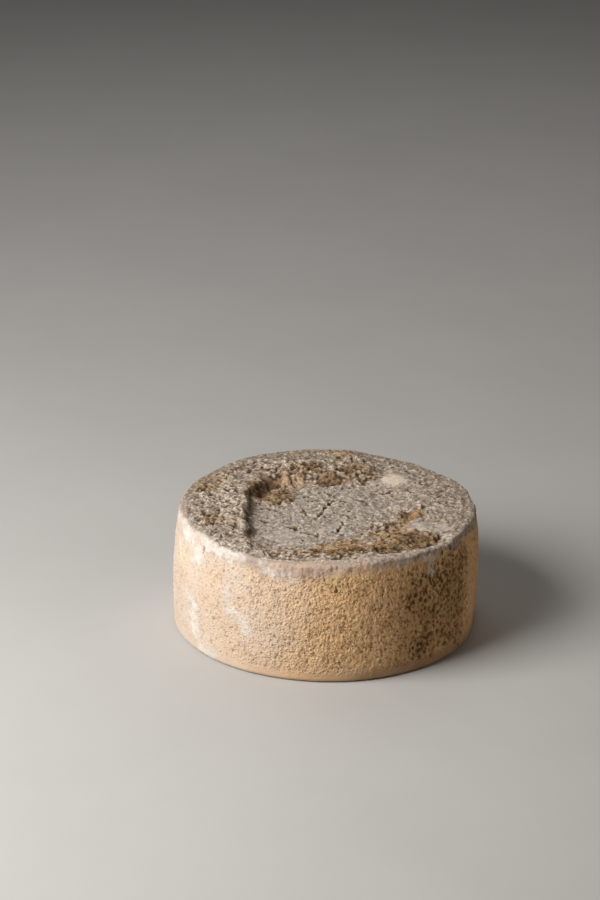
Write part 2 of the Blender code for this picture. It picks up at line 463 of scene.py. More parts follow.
def addBump(tree, shader, height, distance):
    bump = addNode(tree, "ShaderNodeBump")
    bump.inputs["Distance"].default_value = distance
    feed(tree, bump.inputs["Height"], height)
    feed(tree, shader["Normal"], bump.outputs["Normal"])


# ---- colours of the mould crust, which also creeps over the rim, and of the rind

crustLook = {
    "grey": (0.34, 0.282, 0.238, 1), "greyWarm": (0.39, 0.308, 0.238, 1), "greyPale": (0.53, 0.447, 0.380, 1),
    "blue": (0.33, 0.290, 0.262, 1), "blueWarm": (0.40, 0.336, 0.284, 1), "bluePale": (0.50, 0.440, 0.396, 1),
    "cream": (0.63, 0.538, 0.438, 1), "creamDeep": (0.55, 0.457, 0.360, 1),
    "tan": (0.48, 0.318, 0.188, 1), "tanDeep": (0.30, 0.190, 0.106, 1),
    "ochre": (0.48, 0.270, 0.103, 1), "ochreDeep": (0.25, 0.127, 0.042, 1),
    "rose": (0.58, 0.425, 0.300, 1), "roseDeep": (0.47, 0.325, 0.215, 1),
    "brown": (0.185, 0.105, 0.048, 1), "brownDeep": (0.090, 0.047, 0.019, 1),
    # cap and capWarm are pale lump tops, partly painted highlight; dark is painted shade for pits and cracks
    "cap": (0.68, 0.585, 0.480, 1), "capWarm": (0.53, 0.345, 0.180, 1), "dark": (0.050, 0.032, 0.018, 1),
    "murk": (0.200, 0.155, 0.110, 1), "rust": (0.14, 0.088, 0.048, 1),
    "roughness": 0.93, "specular": 0.15,
}

rindLook = {
    "cream": (0.585, 0.462, 0.360, 1), "creamPale": (0.61, 0.500, 0.410, 1),
    "ochre": (0.71, 0.455, 0.240, 1), "ochreDeep": (0.64, 0.396, 0.198, 1),
    "brown": (0.42, 0.238, 0.100, 1), "brownDeep": (0.325, 0.178, 0.070, 1),
    # pitPale and pitDark colour the pits: brown dirt and painted shade
    "pitPale": (0.27, 0.145, 0.062, 1), "pitDark": (0.082, 0.036, 0.008, 1),
    "mould": (0.165, 0.084, 0.026, 1), "mouldPale": (0.30, 0.172, 0.072, 1),
    "bloom": (0.69, 0.640, 0.585, 1), "bloomRose": (0.55, 0.460, 0.390, 1),
    "haze": (0.335, 0.256, 0.224, 1), "hazePale": (0.41, 0.328, 0.298, 1), "straw": (0.72, 0.560, 0.250, 1),
    "roughness": 0.82, "specular": 0.12,
}


def driftColour(tree, look, one, two, size):
    return placeGroup(tree, driftGroup, One=look[one], Two=look[two], Size=size)["Color"]


def mouldColour(tree, name):
    cool, warm, pale = (crustLook[name + shade] for shade in ("", "Warm", "Pale"))
    return placeGroup(tree, crustToneGroup, Cool=cool, Warm=warm, Pale=pale)["Color"]


def powderMask(tree, name, size, fray, edge=0.28):
    patch = maskNode(tree, name)
    return placeGroup(tree, powderGroup, Patch=patch, Size=size, Fray=fray, Edge=edge)["Mask"]


def makeRindMaterial():
    look = rindLook
    material, tree, shader = startMaterial("pittedRind", look["roughness"], look["specular"])

    def drift(one, two, size):
        return driftColour(tree, look, one, two, size)

    # cream at the left, ochre and brown where the rind is riper, partly painted shade and warm bounce light,
    # with straw tints and pinkish haze
    ripeAndShade = maskNode(tree, "ripeAndShade")
    colour = mixColour(tree, rangeNode(tree, ripeAndShade, 0.0, 0.5), drift("cream", "creamPale", 0.014),
                       drift("ochre", "ochreDeep", 0.012))
    colour = mixColour(tree, rangeNode(tree, ripeAndShade, 0.5, 1.0), colour, drift("brown", "brownDeep", 0.007))
    colour = mixColour(tree, maskNode(tree, "straw"), colour, look["straw"])
    colour = mixColour(tree, maskNode(tree, "haze"), colour, drift("haze", "hazePale", 0.006))

    # brown mould, white powder, then the grey mould that has crept over the rim
    mouldShare = mathNode(tree, "MULTIPLY", powderMask(tree, "mould", 0.0020, 1.6, 0.26), 0.54)
    colour = mixColour(tree, mouldShare, colour, drift("mould", "mouldPale", 0.004))
    bloom = powderMask(tree, "bloom", 0.0030, 1.3, 0.24)
    bloomShare = mathNode(tree, "MULTIPLY", bloom, 0.85)
    colour = mixColour(tree, bloomShare, colour, drift("bloom", "bloomRose", 0.012))
    crept = powderMask(tree, "grey", 0.0030, 0.9, 0.20)
    colour = mixColour(tree, crept, colour, mouldColour(tree, "grey"))

    # pits: modelled ones, fine ones between the pebbles, and those the mould has eaten, darkened partly as
    # brown dirt and mould and partly as painted shade
    pitTone = mixColour(tree, rangeNode(tree, ripeAndShade, 0.1, 0.7), look["pitPale"], look["pitDark"])
    peel = placeGroup(tree, peelGroup, Size=0.0018, Lively=maskNode(tree, "lively"))
    eaten = placeGroup(tree, eatenGroup, Size=0.0027, Tall=1.7, Eaten=maskNode(tree, "mould"))["Mask"]
    fineShare = mathNode(tree, "MULTIPLY", peel["Pits"], 0.70)
    pits = mathNode(tree, "MAXIMUM", mathNode(tree, "MAXIMUM", maskNode(tree, "pit"), fineShare), eaten)
    colour = mixColour(tree, mathNode(tree, "MULTIPLY", pits, 0.80), colour, pitTone)
    feed(tree, shader["Base Color"], colour)

    grain = placeGroup(tree, grainGroup, Size=0.0009, Pits=0.5)["Height"]
    height = mathNode(tree, "ADD", peel["Height"], mathNode(tree, "MULTIPLY", grain, 0.30))
    sunk = mathNode(tree, "MULTIPLY", eaten, 1.6)
    addBump(tree, shader, mathNode(tree, "SUBTRACT", height, sunk), 0.00042)
    feed(tree, shader["Roughness"], rangeNode(tree, bloom, 0.0, 1.0, 0.80, 0.94))
    layOut(tree)
    return material


def makeCrustMaterial():
    look = crustLook
    material, tree, shader = startMaterial("mouldCrust", look["roughness"], look["specular"])

    def shade(name):
        return driftColour(tree, look, name, name + "Deep", 0.0032)

    # bluish and plain grey, cream places, dark murk between the crumbs that is partly painted shade, then the
    # stains
    colour = mixColour(tree, powderMask(tree, "calm", 0.004, 0.6), mouldColour(tree, "grey"),
                       mouldColour(tree, "blue"))
    colour = mixColour(tree, powderMask(tree, "cream", 0.0030, 1.0, 0.16), colour, shade("cream"))
    murkShare = mathNode(tree, "MULTIPLY", powderMask(tree, "murk", 0.0026, 1.0), 0.60)
    colour = mixColour(tree, murkShare, colour, look["murk"])
    stains = {}
    for name, size, fray in (("tan", 0.0030, 1.1), ("ochre", 0.0028, 1.2), ("rose", 0.0035, 1.0),
                             ("brown", 0.0022, 1.3)):
        stains[name] = powderMask(tree, name, size, fray)
        colour = mixColour(tree, stains[name], colour, shade(name))

    # pale caps on the lumps, partly dry mould and partly painted highlight, fewer of them on the stains
    warm = stains["tan"]
    for name in ("brown", "rose", "ochre"):
        warm = mathNode(tree, "MAXIMUM", warm, stains[name])
    capTone = mixColour(tree, warm, look["cap"], look["capWarm"])
    capLevel = mathNode(tree, "MULTIPLY", rangeNode(tree, warm, 0.0, 1.0, 0.90, 0.50),
                        rangeNode(tree, stains["brown"], 0.0, 1.0, 1.0, 0.55))
    capShare = mathNode(tree, "MULTIPLY", maskNode(tree, "cap"), capLevel)
    colour = mixColour(tree, capShare, colour, capTone)

    # damp smudges, white powder near the rim, rusty flecks, then the dark of pits and cracks, which is
    # painted shade with some dirt
    smudges = placeGroup(tree, speckleGroup, Size=0.0036, Cover=0.40, Edge=0.07)["Mask"]
    blank = rangeNode(tree, maskNode(tree, "smooth"), 0.0, 0.8, 0.62, 0.05)
    colour = mixColour(tree, mathNode(tree, "MULTIPLY", smudges, blank), colour, look["murk"])
    rimTone = driftColour(tree, rindLook, "bloom", "bloomRose", 0.012)
    rimShare = mathNode(tree, "MULTIPLY", powderMask(tree, "rimmed", 0.0026, 1.3, 0.24), 0.80)
    colour = mixColour(tree, rimShare, colour, rimTone)
    flecks = placeGroup(tree, speckleGroup, Size=0.0014, Cover=0.42, Edge=0.05)["Mask"]
    quiet = mathNode(tree, "MULTIPLY_ADD", maskNode(tree, "calm"), 0.12, maskNode(tree, "smooth"))
    grainy = rangeNode(tree, quiet, 0.0, 0.8, 0.62, 0.06)
    colour = mixColour(tree, mathNode(tree, "MULTIPLY", flecks, grainy), colour, look["rust"])
    # painted shade with some dirt: pits, cracks and gaps are made near black
    colour = mixColour(tree, mathNode(tree, "MULTIPLY", maskNode(tree, "pit"), 0.90), colour, look["dark"])
    feed(tree, shader["Base Color"], colour)

    grain = placeGroup(tree, grainGroup, Size=0.0009, Pits=0.6)["Height"]
    addBump(tree, shader, mathNode(tree, "MULTIPLY", grain, grainy), 0.00036)
    feed(tree, shader["Roughness"], rangeNode(tree, flecks, 0.0, 1.0, 0.95, 0.86))
    layOut(tree)
    return material


rindMaterial = makeRindMaterial()
crustMaterial = makeCrustMaterial()
print("materials built")


# ---- where the crust ends on the rim: degrees and radius, all the way round

crustEdge = [(-180, 0.1026), (-168, 0.1020), (-154, 0.1018), (-141, 0.1030), (-131, 0.1041), (-120, 0.1033),
             (-110, 0.1018), (-100, 0.0998), (-88, 0.0984), (-70, 0.0977), (-58, 0.0990), (-48, 0.1008),
             (-39, 0.1034), (-28, 0.1075), (165, 0.1075), (180, 0.1026)]


def readTable(table, angle):         # a value at each direction, from pairs of (degrees, value)
    return np.interp(angle, *zip(*table))


def edgeRadius(angle):
    turn = np.radians(angle)
    x, y = np.cos(turn) * wheel["rimRadius"], np.sin(turn) * wheel["rimRadius"]
    return readTable(crustEdge, angle) + 0.0003 * layeredNoise(x, y, x * 0, 0.016, 209, 2)


# ---- the rind: side, rim and foot in one closed solid, its top hidden under the crust

rind = {
    "columns": 880, "innerEdge": 0.0940, "innerRows": 8, "rimRows": 6, "sideRows": 85, "footRows": 5,
    "baseColumns": 220, "baseRings": 8,
    "hiddenTop": 0.0770, "underCrust": 0.0024, "flushRadius": 0.1052,
    "pebble": 0.00046, "pebbleSize": 0.0022, "pebbleTall": 1.30, "pebbleLean": 0.20,
    "smallPit": 0.00075, "smallPitCell": 0.0027, "largePit": 0.0014, "largePitCell": 0.0031,
    "footBand": 0.0066, "rimBand": 0.0800, "swell": 0.00060,
    "baseMasks": {"bloom": 0.12, "mould": 0.05, "ripeAndShade": 0.30, "lively": 0.3},
    # patches of powder: corners as (degrees, height), half width, strength
    "bloomLines": [
        ([(-155, 0.0860), (-151, 0.0810), (-148, 0.0760), (-147, 0.0735)], 0.0082, 1.75),
        ([(-176, 0.0845), (-160, 0.0835), (-136, 0.0850), (-125, 0.0850)], 0.0060, 0.86),
        ([(-154, 0.0500), (-152.4, 0.0345)], 0.0046, 0.46),
        ([(-149.4, 0.0335), (-148.2, 0.0270), (-147.0, 0.0190)], 0.0092, 0.96),
        ([(-145.6, 0.0135), (-141, 0.0055), (-135.6, 0.0028)], 0.0072, 0.70),
        ([(-131, 0.0620), (-129.4, 0.0505)], 0.0056, 0.84),
        ([(-126.4, 0.0440), (-122.0, 0.0400), (-119.6, 0.0330)], 0.0060, 0.80),
        ([(-176, 0.0700), (-174, 0.0420), (-170, 0.0150)], 0.0040, 0.66),
        ([(-164, 0.0720), (-160, 0.0560)], 0.0040, 0.66),
        ([(-116, 0.0850), (-110, 0.0810), (-103, 0.0795)], 0.0060, 0.58),
        ([(-47.8, 0.0860), (-47.4, 0.0800), (-46.8, 0.0735)], 0.0040, 1.20),
        ([(-50.5, 0.0845), (-47.0, 0.0825)], 0.0040, 1.00),
        ([(-62, 0.0840), (-52, 0.0830), (-44, 0.0845)], 0.0034, 0.55),
        ([(-20, 0.0360), (-19, 0.0250)], 0.0030, 0.60),
        ([(60, 0.0820), (66, 0.0640), (64, 0.0500)], 0.0050, 0.75),
        ([(118, 0.0380), (124, 0.0240), (134, 0.0060)], 0.0040, 0.85),
        ([(150, 0.0840), (156, 0.0700)], 0.0070, 0.80),
        ([(92, 0.0840), (100, 0.0780)], 0.0060, 0.70),
    ],
    # short cuts: corners as (degrees, height), half width
    "slits": [([(-143.0, 0.0815), (-143.6, 0.0760)], 0.0006), ([(-153.5, 0.0800), (-152.8, 0.0770)], 0.0005)],
    # how low the pinkish powder under the rim reaches: degrees, height
    "hazeReach": [(-180, 0.0780), (-150, 0.0790), (-125, 0.0800), (-110, 0.0770), (-100, 0.0780),
                  (-80, 0.0805), (-60, 0.0820), (-40, 0.0850), (0, 0.0840), (120, 0.0820), (180, 0.0780)],
    # straw-yellow tints: degrees, height, half width, strength
    "strawSpots": [(-119, 0.0790, 0.0030, 0.55), (-119.5, 0.0720, 0.0022, 0.45), (-112, 0.0790, 0.0028, 0.45),
                   (-114, 0.0220, 0.0016, 0.80), (-86, 0.0780, 0.0060, 0.35), (-160, 0.0640, 0.0060, 0.40)],
    # mould-eaten places: degrees, height, half width, half height, strength
    "mouldSpots": [
        (-36, 0.0480, 0.0230, 0.0360, 0.92), (-45, 0.0690, 0.0085, 0.0090, 0.90),
        (-27, 0.0700, 0.0120, 0.0160, 0.80), (-51, 0.0220, 0.0110, 0.0150, 0.80),
        (-57, 0.0600, 0.0060, 0.0160, 0.55), (-35, 0.0810, 0.0090, 0.0050, 0.90),
        (-33, 0.0160, 0.0140, 0.0120, 0.70), (-47, 0.0400, 0.0060, 0.0120, 0.90),
        (-33, 0.0340, 0.0070, 0.0090, 1.00), (-36, 0.0620, 0.0080, 0.0090, 1.00),
        (-52, 0.0560, 0.0050, 0.0170, 0.85), (-50, 0.0380, 0.0050, 0.0110, 0.85),
        (-42, 0.0240, 0.0080, 0.0110, 0.85), (-41, 0.0530, 0.0050, 0.0120, 0.90),
        (30, 0.0450, 0.0200, 0.0260, 0.60), (105, 0.0600, 0.0150, 0.0180, 0.55),
    ],
    # how low the grey mould hangs over the rim: degrees, height
    "greyReach": [(-180, 0.0866), (-150, 0.0885), (-120, 0.0888), (-100, 0.0888), (-76, 0.0878),
                  (-54, 0.0855), (-44, 0.0868), (-39, 0.0850), (-35, 0.0800), (-31, 0.0800), (-28, 0.0835),
                  (-18, 0.0805), (0, 0.0800), (40, 0.0790), (90, 0.0800), (140, 0.0815),
                  (165, 0.0850), (180, 0.0866)],
    # how ripe and brown the rind is, partly painted shade and warm bounce light away from the key light:
    # degrees, 0 cream to 1 brown
    "ripenessAndShade": [(-180, 0.03), (-146, 0.05), (-124, 0.13), (-108, 0.23), (-90, 0.41), (-70, 0.64),
                 (-57, 0.78), (-48, 0.74), (-38, 0.56), (-24, 0.52), (-10, 0.56), (30, 0.52), (80, 0.40),
                 (120, 0.26), (150, 0.12), (180, 0.03)],
}

# where the rind lies on its bake map: strips of the side two abreast, then the base and the hidden top
rindMap = {
    "strips": 6, "strip": (0.372, 0.322), "gap": 0.008,
    "base": (0.884, 0.140), "baseHalf": 0.112, "top": (0.884, 0.900), "topHalf": 0.03,
}


def rindProfile():
    # radius, height and outward direction of each row, from under the crust round to the base
    rows = []
    for i in range(rind["innerRows"]):
        radius = rind["innerEdge"] + (flatEdge - rind["innerEdge"]) * i / rind["innerRows"]
        rows.append((radius, wheel["rimHeight"], 0.0, 1.0))
    for i in range(rind["rimRows"]):
        turn = pi / 2 * (1 - i / rind["rimRows"])
        rows.append((flatEdge + wheel["rimRound"] * cos(turn), sideTop + wheel["rimRound"] * sin(turn),
                     cos(turn), sin(turn)))
    for i in range(rind["sideRows"] + 1):
        height = sideTop + (wheel["footRound"] - sideTop) * i / rind["sideRows"]
        rows.append((float(sideRadius(np.float64(height))), height, 1.0, 0.0))
    for i in range(1, rind["footRows"] + 1):
        turn = -pi / 2 * i / rind["footRows"]
        rows.append((wheel["footRadius"] - wheel["footRound"] * (1 - cos(turn)),
                     wheel["footRound"] * (1 + sin(turn)), cos(turn), sin(turn)))
    return np.array(rows)


def awayOnSide(angle, height, corners):   # distance along the side to a line of (degrees, height)
    reach, middle = wheel["bellyRadius"], corners[0][0]
    line = [(radians(turnedAway(a, middle)) * reach, h) for a, h in corners]
    return awayFromLine(np.radians(turnedAway(angle, middle)) * reach, height, line)


def rindMasks(angle, height, x, y):
    # powder, mould, ripeness and tints for each place of the side
    reach = wheel["bellyRadius"]

    def noise(size, seed, layers=1):
        return layeredNoise(x, y, height, size, seed, layers)

    bendAngle = angle + 1.5 * noise(0.012, 61, 3)
    bendHeight = height + 0.0025 * noise(0.010, 62, 3)
    bloom = np.zeros(angle.shape)
    frayed = 0.0020 * noise(0.0036, 72, 2)
    torn = 0.66 + 0.34 * ramp(-0.40, 0.10, noise(0.0028, 73, 2))
    for corners, halfWidth, strength in rind["bloomLines"]:
        away = awayOnSide(bendAngle, bendHeight, corners) + frayed
        bloom = np.maximum(bloom, strength * (1 - ramp(0, halfWidth * 1.7, away)))
    bloom = bloom * torn
    leftward = np.exp(-(turnedAway(angle, -165) / 55) ** 4)
    wander = 0.0030 * softNoise(x, y, x * 0, 0.022, 63)
    band = ramp(rind["rimBand"] - 0.003, rind["rimBand"] + 0.006, height + wander)
    bloom = np.maximum(bloom, band * (0.22 + 0.05 * leftward))

    # pinkish haze under the rim, and a little above the foot where the rind is ripe
    ripeAndShade = readTable(rind["ripenessAndShade"], angle)
    wander = wander + 0.0022 * noise(0.010, 68, 3)
    haze = ramp(-0.0040, 0.0050, height + wander - readTable(rind["hazeReach"], angle))
    haze = haze * (0.72 + 0.25 * noise(0.012, 69))
    haze = np.maximum(haze, (1 - ramp(0.004, 0.014, height + wander)) * 0.30 * ramp(0.12, 0.45, ripeAndShade))

    streaks = 0.5 + 0.5 * softNoise(x, y, height / 4, 0.0050, 64)
    mould = np.zeros(angle.shape)
    for centre, middle, halfWidth, halfHeight, strength in rind["mouldSpots"]:
        across = np.radians(turnedAway(bendAngle, centre)) * reach / halfWidth
        along = (bendHeight - middle) / halfHeight
        mould = np.maximum(mould, strength * np.exp(-(across ** 2 + along ** 2) ** 1.3 * 0.8))
    mould = mould * (0.55 + 0.65 * streaks) * (1 - 0.8 * np.clip(bloom - 0.3, 0, 1))

    ripeAndShade = ripeAndShade + 0.08 * noise(0.030, 71, 3) + 0.10 * (streaks - 0.5) * ramp(0.3, 0.6, ripeAndShade)
    # painted shade: the rind is made darker and browner towards the foot
    ripeAndShade = ripeAndShade + (0.85 * ripeAndShade - 0.12) * (1 - ramp(0.002, 0.012, height))

    # grey mould that has crept over the rim, most of all at the back and on the right
    ragged = 0.0024 * noise(0.009, 66, 4) * ramp(-80, -45, angle) + 0.0008 * noise(0.004, 67, 3)
    ragged = ragged + 0.0040 * noise(0.026, 70) * ramp(-20, 20, np.abs(angle + 60) - 60)
    grey = ramp(-0.0022, 0.0018, height + ragged - readTable(rind["greyReach"], angle))
    bloom = bloom * (1 - 0.85 * grey * ramp(-75, -50, angle))
    straw = np.zeros(angle.shape)
    for centre, middle, halfWidth, strength in rind["strawSpots"]:
        away = np.hypot(np.radians(turnedAway(bendAngle, centre)) * reach, bendHeight - middle)
        straw = np.maximum(straw, strength * np.exp(-(away / halfWidth) ** 2))
    masks = {"bloom": bloom, "mould": mould, "ripeAndShade": ripeAndShade, "grey": grey, "straw": straw, "haze": haze}
    return {name: np.clip(values, 0, 1) for name, values in masks.items()}


def rindRelief(angle, height, x, y, masks, outX):
    # fine relief in metres, how dark the pits are (brown dirt and painted shade), and how lively the finest
    # grain is
    bloom, mould, ripeAndShade = masks["bloom"], masks["mould"], masks["ripeAndShade"]
    arc = np.radians(angle + 180) * wheel["bellyRadius"]
    around = 2 * pi * wheel["bellyRadius"]

    def noise(size, seed, layers=1):
        return layeredNoise(x, y, height, size, seed, layers)

    def cells(u, v, size, seed):     # a whole number of cells goes round the wheel
        count = int(round(around / size))
        return cellPattern(u, v, around / count, seed, count)

    onSide = ramp(-0.1, 0.5, outX)
    lively = ramp(rind["footBand"] * 0.5, rind["footBand"] * 1.6, height)
    lively = lively * (1 - 0.72 * ramp(rind["rimBand"] - 0.004, rind["rimBand"] + 0.003, height))
    lively = lively * (1 - 0.50 * np.exp(-(turnedAway(angle, -152) / 28) ** 2)) * (1 - 0.55 * bloom)

    # pebbles with creases between, a little taller than wide and leaning
    tall = height / rind["pebbleTall"]
    lean = arc + rind["pebbleLean"] * height
    pebbles = 0.25 * softNoise(x, y, tall, rind["pebbleSize"], 100)
    for share, size, seed in ((0.9, rind["pebbleSize"], 101), (0.6, rind["pebbleSize"] * 0.75, 102)):
        nearest, own, _ = cells(lean, tall, size, seed)
        pebbles += share * ((1 - ramp(0.0, 0.85, nearest)) * (0.4 + 0.9 * own) - 0.40)
    relief = rind["pebble"] * pebbles * (0.12 + 0.88 * lively)
    relief += 0.00030 * noise(0.0085, 106) * (0.4 + 0.6 * lively)

    # small pits everywhere, larger ones where the mould has eaten in
    wobble = 0.0007 * noise(0.004, 103)
    frayArc = arc + wobble + 0.0006 * noise(0.0021, 113)
    frayHeight = height + 0.0007 * noise(0.0021, 114)
    nearest, own, other = cells(frayArc, frayHeight / 1.25, rind["smallPitCell"], 104)
    rare = 0.70 - 0.40 * ripeAndShade + 0.30 * noise(0.022, 112, 2)
    smallPits = ramp(rare, rare + 0.06, own) * np.exp(-(nearest / (0.15 + 0.23 * other)) ** 2)
    smallPits = smallPits * ramp(0.006, 0.014, height) * (0.35 + 0.65 * lively)
    strayArc = arc + 0.0007 * noise(0.0022, 108) + 2 * wobble
    strayHeight = height + 0.0009 * noise(0.0024, 109)
    nearest, own, other = cells(strayArc, strayHeight / 1.8, rind["largePitCell"], 105)
    eaten = ramp(0.12, 0.50, mould)
    present = ramp(0.985 - 0.80 * eaten, 0.995 - 0.80 * eaten, own)
    largePits = present * (1 - ramp(0.45, 1.25, nearest / (0.20 + 0.21 * other))) * lively
    relief -= rind["smallPit"] * smallPits + rind["largePit"] * largePits
    relief += 0.00022 * bloom * (0.6 + billows(x, y, height, 0.0030, 107))

    # painted shade, partly brown dirt: creases between the pebbles and the pits are darkened, less where
    # lively is low, as on the side facing the key light
    creases = ramp(0.15, 0.75, -pebbles) * lively
    pit = np.maximum(0.90 * smallPits, 0.45 * creases * (0.15 + 0.85 * ramp(0.1, 0.5, ripeAndShade)))
    pit = np.maximum(pit, 1.1 * largePits)
    # the short cuts are sunk and darkened with painted shade
    for corners, halfWidth in rind["slits"]:
        slit = np.exp(-(awayOnSide(angle, height, corners) / halfWidth) ** 2)
        relief -= 0.0008 * slit
        pit = np.maximum(pit, 1.2 * slit)
    return relief * onSide, np.clip(pit * onSide, 0, 1), 0.15 + 0.85 * lively


def makeRind():
    rows = rindProfile()
    columns = rind["columns"]
    turn = 2 * pi * np.arange(columns) / columns - pi
    radius, height, outX, outZ = (rows[:, k][:, None] + np.zeros((1, columns)) for k in range(4))
    angle = np.degrees(turn)[None, :] + 0 * radius
    x, y = radius * np.cos(turn), radius * np.sin(turn)
    masks = rindMasks(angle, height, x, y)
    relief, pit, masks["lively"] = rindRelief(angle, height, x, y, masks, outX)

    # crumbs of the grey mould where it has crept over the rim
    run = np.concatenate([[0], np.cumsum(np.hypot(np.diff(rows[:, 0]), np.diff(rows[:, 1])))])
    arc = turn[None, :] * wheel["rimRadius"] + 0.0006 * softNoise(x, y, height, 0.0022, 124)
    down = run[:, None] + 0.0006 * softNoise(x, y, height, 0.0022, 125)
    onTop = ramp(0.35, 0.80, outZ)
    stand = sideShift(angle, height, radius)
    outerX, outerY = (radius + stand) * np.cos(turn), (radius + stand) * np.sin(turn)
    onFace = lipCrumbs(outerX, outerY, outerX, outerY, x * 0)
    lumps = lipCrumbs(arc, down, x, y, height) * (1 - onTop) + onFace * onTop
    swells = layeredNoise(x, y, height, 0.0075, 123) * (1 - onTop)
    relief += lumps * wheel["lipLump"] * masks["grey"] + swells * rind["swell"] * ramp(0.0780, 0.0840, height)
    # painted shade in the gaps between the grey crumbs on the lip
    masks["pit"] = np.maximum(pit, 0.8 * ramp(0.05, 0.35, -lumps) * masks["grey"])

    # the slow form, then the fine relief along the section's own outward direction
    newRadius = radius + stand + relief * outX
    upper = ramp(wheel["bellyHeight"], sideTop, height)
    newHeight = height + (faceHeight(outerX, outerY) - wheel["rimHeight"]) * upper + relief * outZ
    covered = 1 - ramp(-0.0042, -0.0022, radius - np.minimum(edgeRadius(angle), rind["flushRadius"]))
    newHeight = newHeight - rind["underCrust"] * covered
    newHeight[0] = rind["hiddenTop"]
    points = np.stack([newRadius * np.cos(turn), newRadius * np.sin(turn), newHeight], -1).reshape(-1, 3)

    # faces of the side, with their place on the bake map: strips of 60 degrees, two abreast
    faces, mapU, mapV = [], [], []
    stripWidth, stripHeight = rindMap["strip"]
    gap = rindMap["gap"]
    perStrip = (columns + rindMap["strips"] - 1) // rindMap["strips"]
    for r in range(len(rows) - 1):
        low, high = run[r + 1] / run[-1], run[r] / run[-1]
        for c in range(columns):
            n = (c + 1) % columns
            faces.append((r * columns + c, (r + 1) * columns + c, (r + 1) * columns + n, r * columns + n))
            strip, within = divmod(c, perStrip)
            left = gap / 2 + (strip % 2) * (stripWidth + gap) + within / perStrip * stripWidth
            right = left + stripWidth / perStrip
            bottom = gap / 2 + (strip // 2) * (stripHeight + gap)
            mapU += [left, left, right, right]
            mapV += [bottom + (1 - v) * stripHeight for v in (high, low, low, high)]

    # the base: every fourth column goes on, ring by ring, to the middle
    baseColumns, rings = rind["baseColumns"], rind["baseRings"]
    step = columns // baseColumns
    lastRow, total = (len(rows) - 1) * columns, len(points)
    base = []
    for ring in range(1, rings + 1):
        ringRadius = rows[-1, 0] * (1 - ring / (rings + 1.0))
        base += [(ringRadius * cos(turn[c * step]), ringRadius * sin(turn[c * step]), 0.0)
                 for c in range(baseColumns)]
    ringStarts = [total + ring * baseColumns for ring in range(rings)]
    middle = total + len(base)
    base.append((0.0, 0.0, 0.0))
    points = np.concatenate([points, np.array(base)])
    for name, values in masks.items():
        plain = np.full(len(base), rind["baseMasks"].get(name, 0.0))
        masks[name] = np.concatenate([values.reshape(-1), plain])

    def addBaseFace(corners):
        faces.append(tuple(corners))
        for corner in corners:
            mapU.append(rindMap["base"][0] + points[corner][0] * rindMap["baseHalf"] / wheel["footRadius"])
            mapV.append(rindMap["base"][1] + points[corner][1] * rindMap["baseHalf"] / wheel["footRadius"])

    for c in range(baseColumns):
        n = (c + 1) % baseColumns
        outer = [lastRow + (c * step + k) % columns for k in range(step + 1)]
        addBaseFace([ringStarts[0] + n] + outer[::-1] + [ringStarts[0] + c])
        for inner, nextIn in zip(ringStarts, ringStarts[1:]):
            addBaseFace([inner + c, nextIn + c, nextIn + n, inner + n])
        addBaseFace([ringStarts[-1] + c, middle, ringStarts[-1] + n])

    # the hidden top, one flat face well under the crust
    faces.append(tuple(range(columns)))
    mapU += [rindMap["top"][0] + rindMap["topHalf"] * cos(a) for a in turn]
    mapV += [rindMap["top"][1] + rindMap["topHalf"] * sin(a) for a in turn]

    piece = meshPiece("rind", points, faces, masks, rindMaterial)
    setBakeMap(piece, mapU, mapV)
    return piece


rindPiece = makeRind()
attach(rindPiece, "root")
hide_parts("wheel")


# ---- the crust: a sheet of mould over the upper face, its edge running out under the rind of the rim

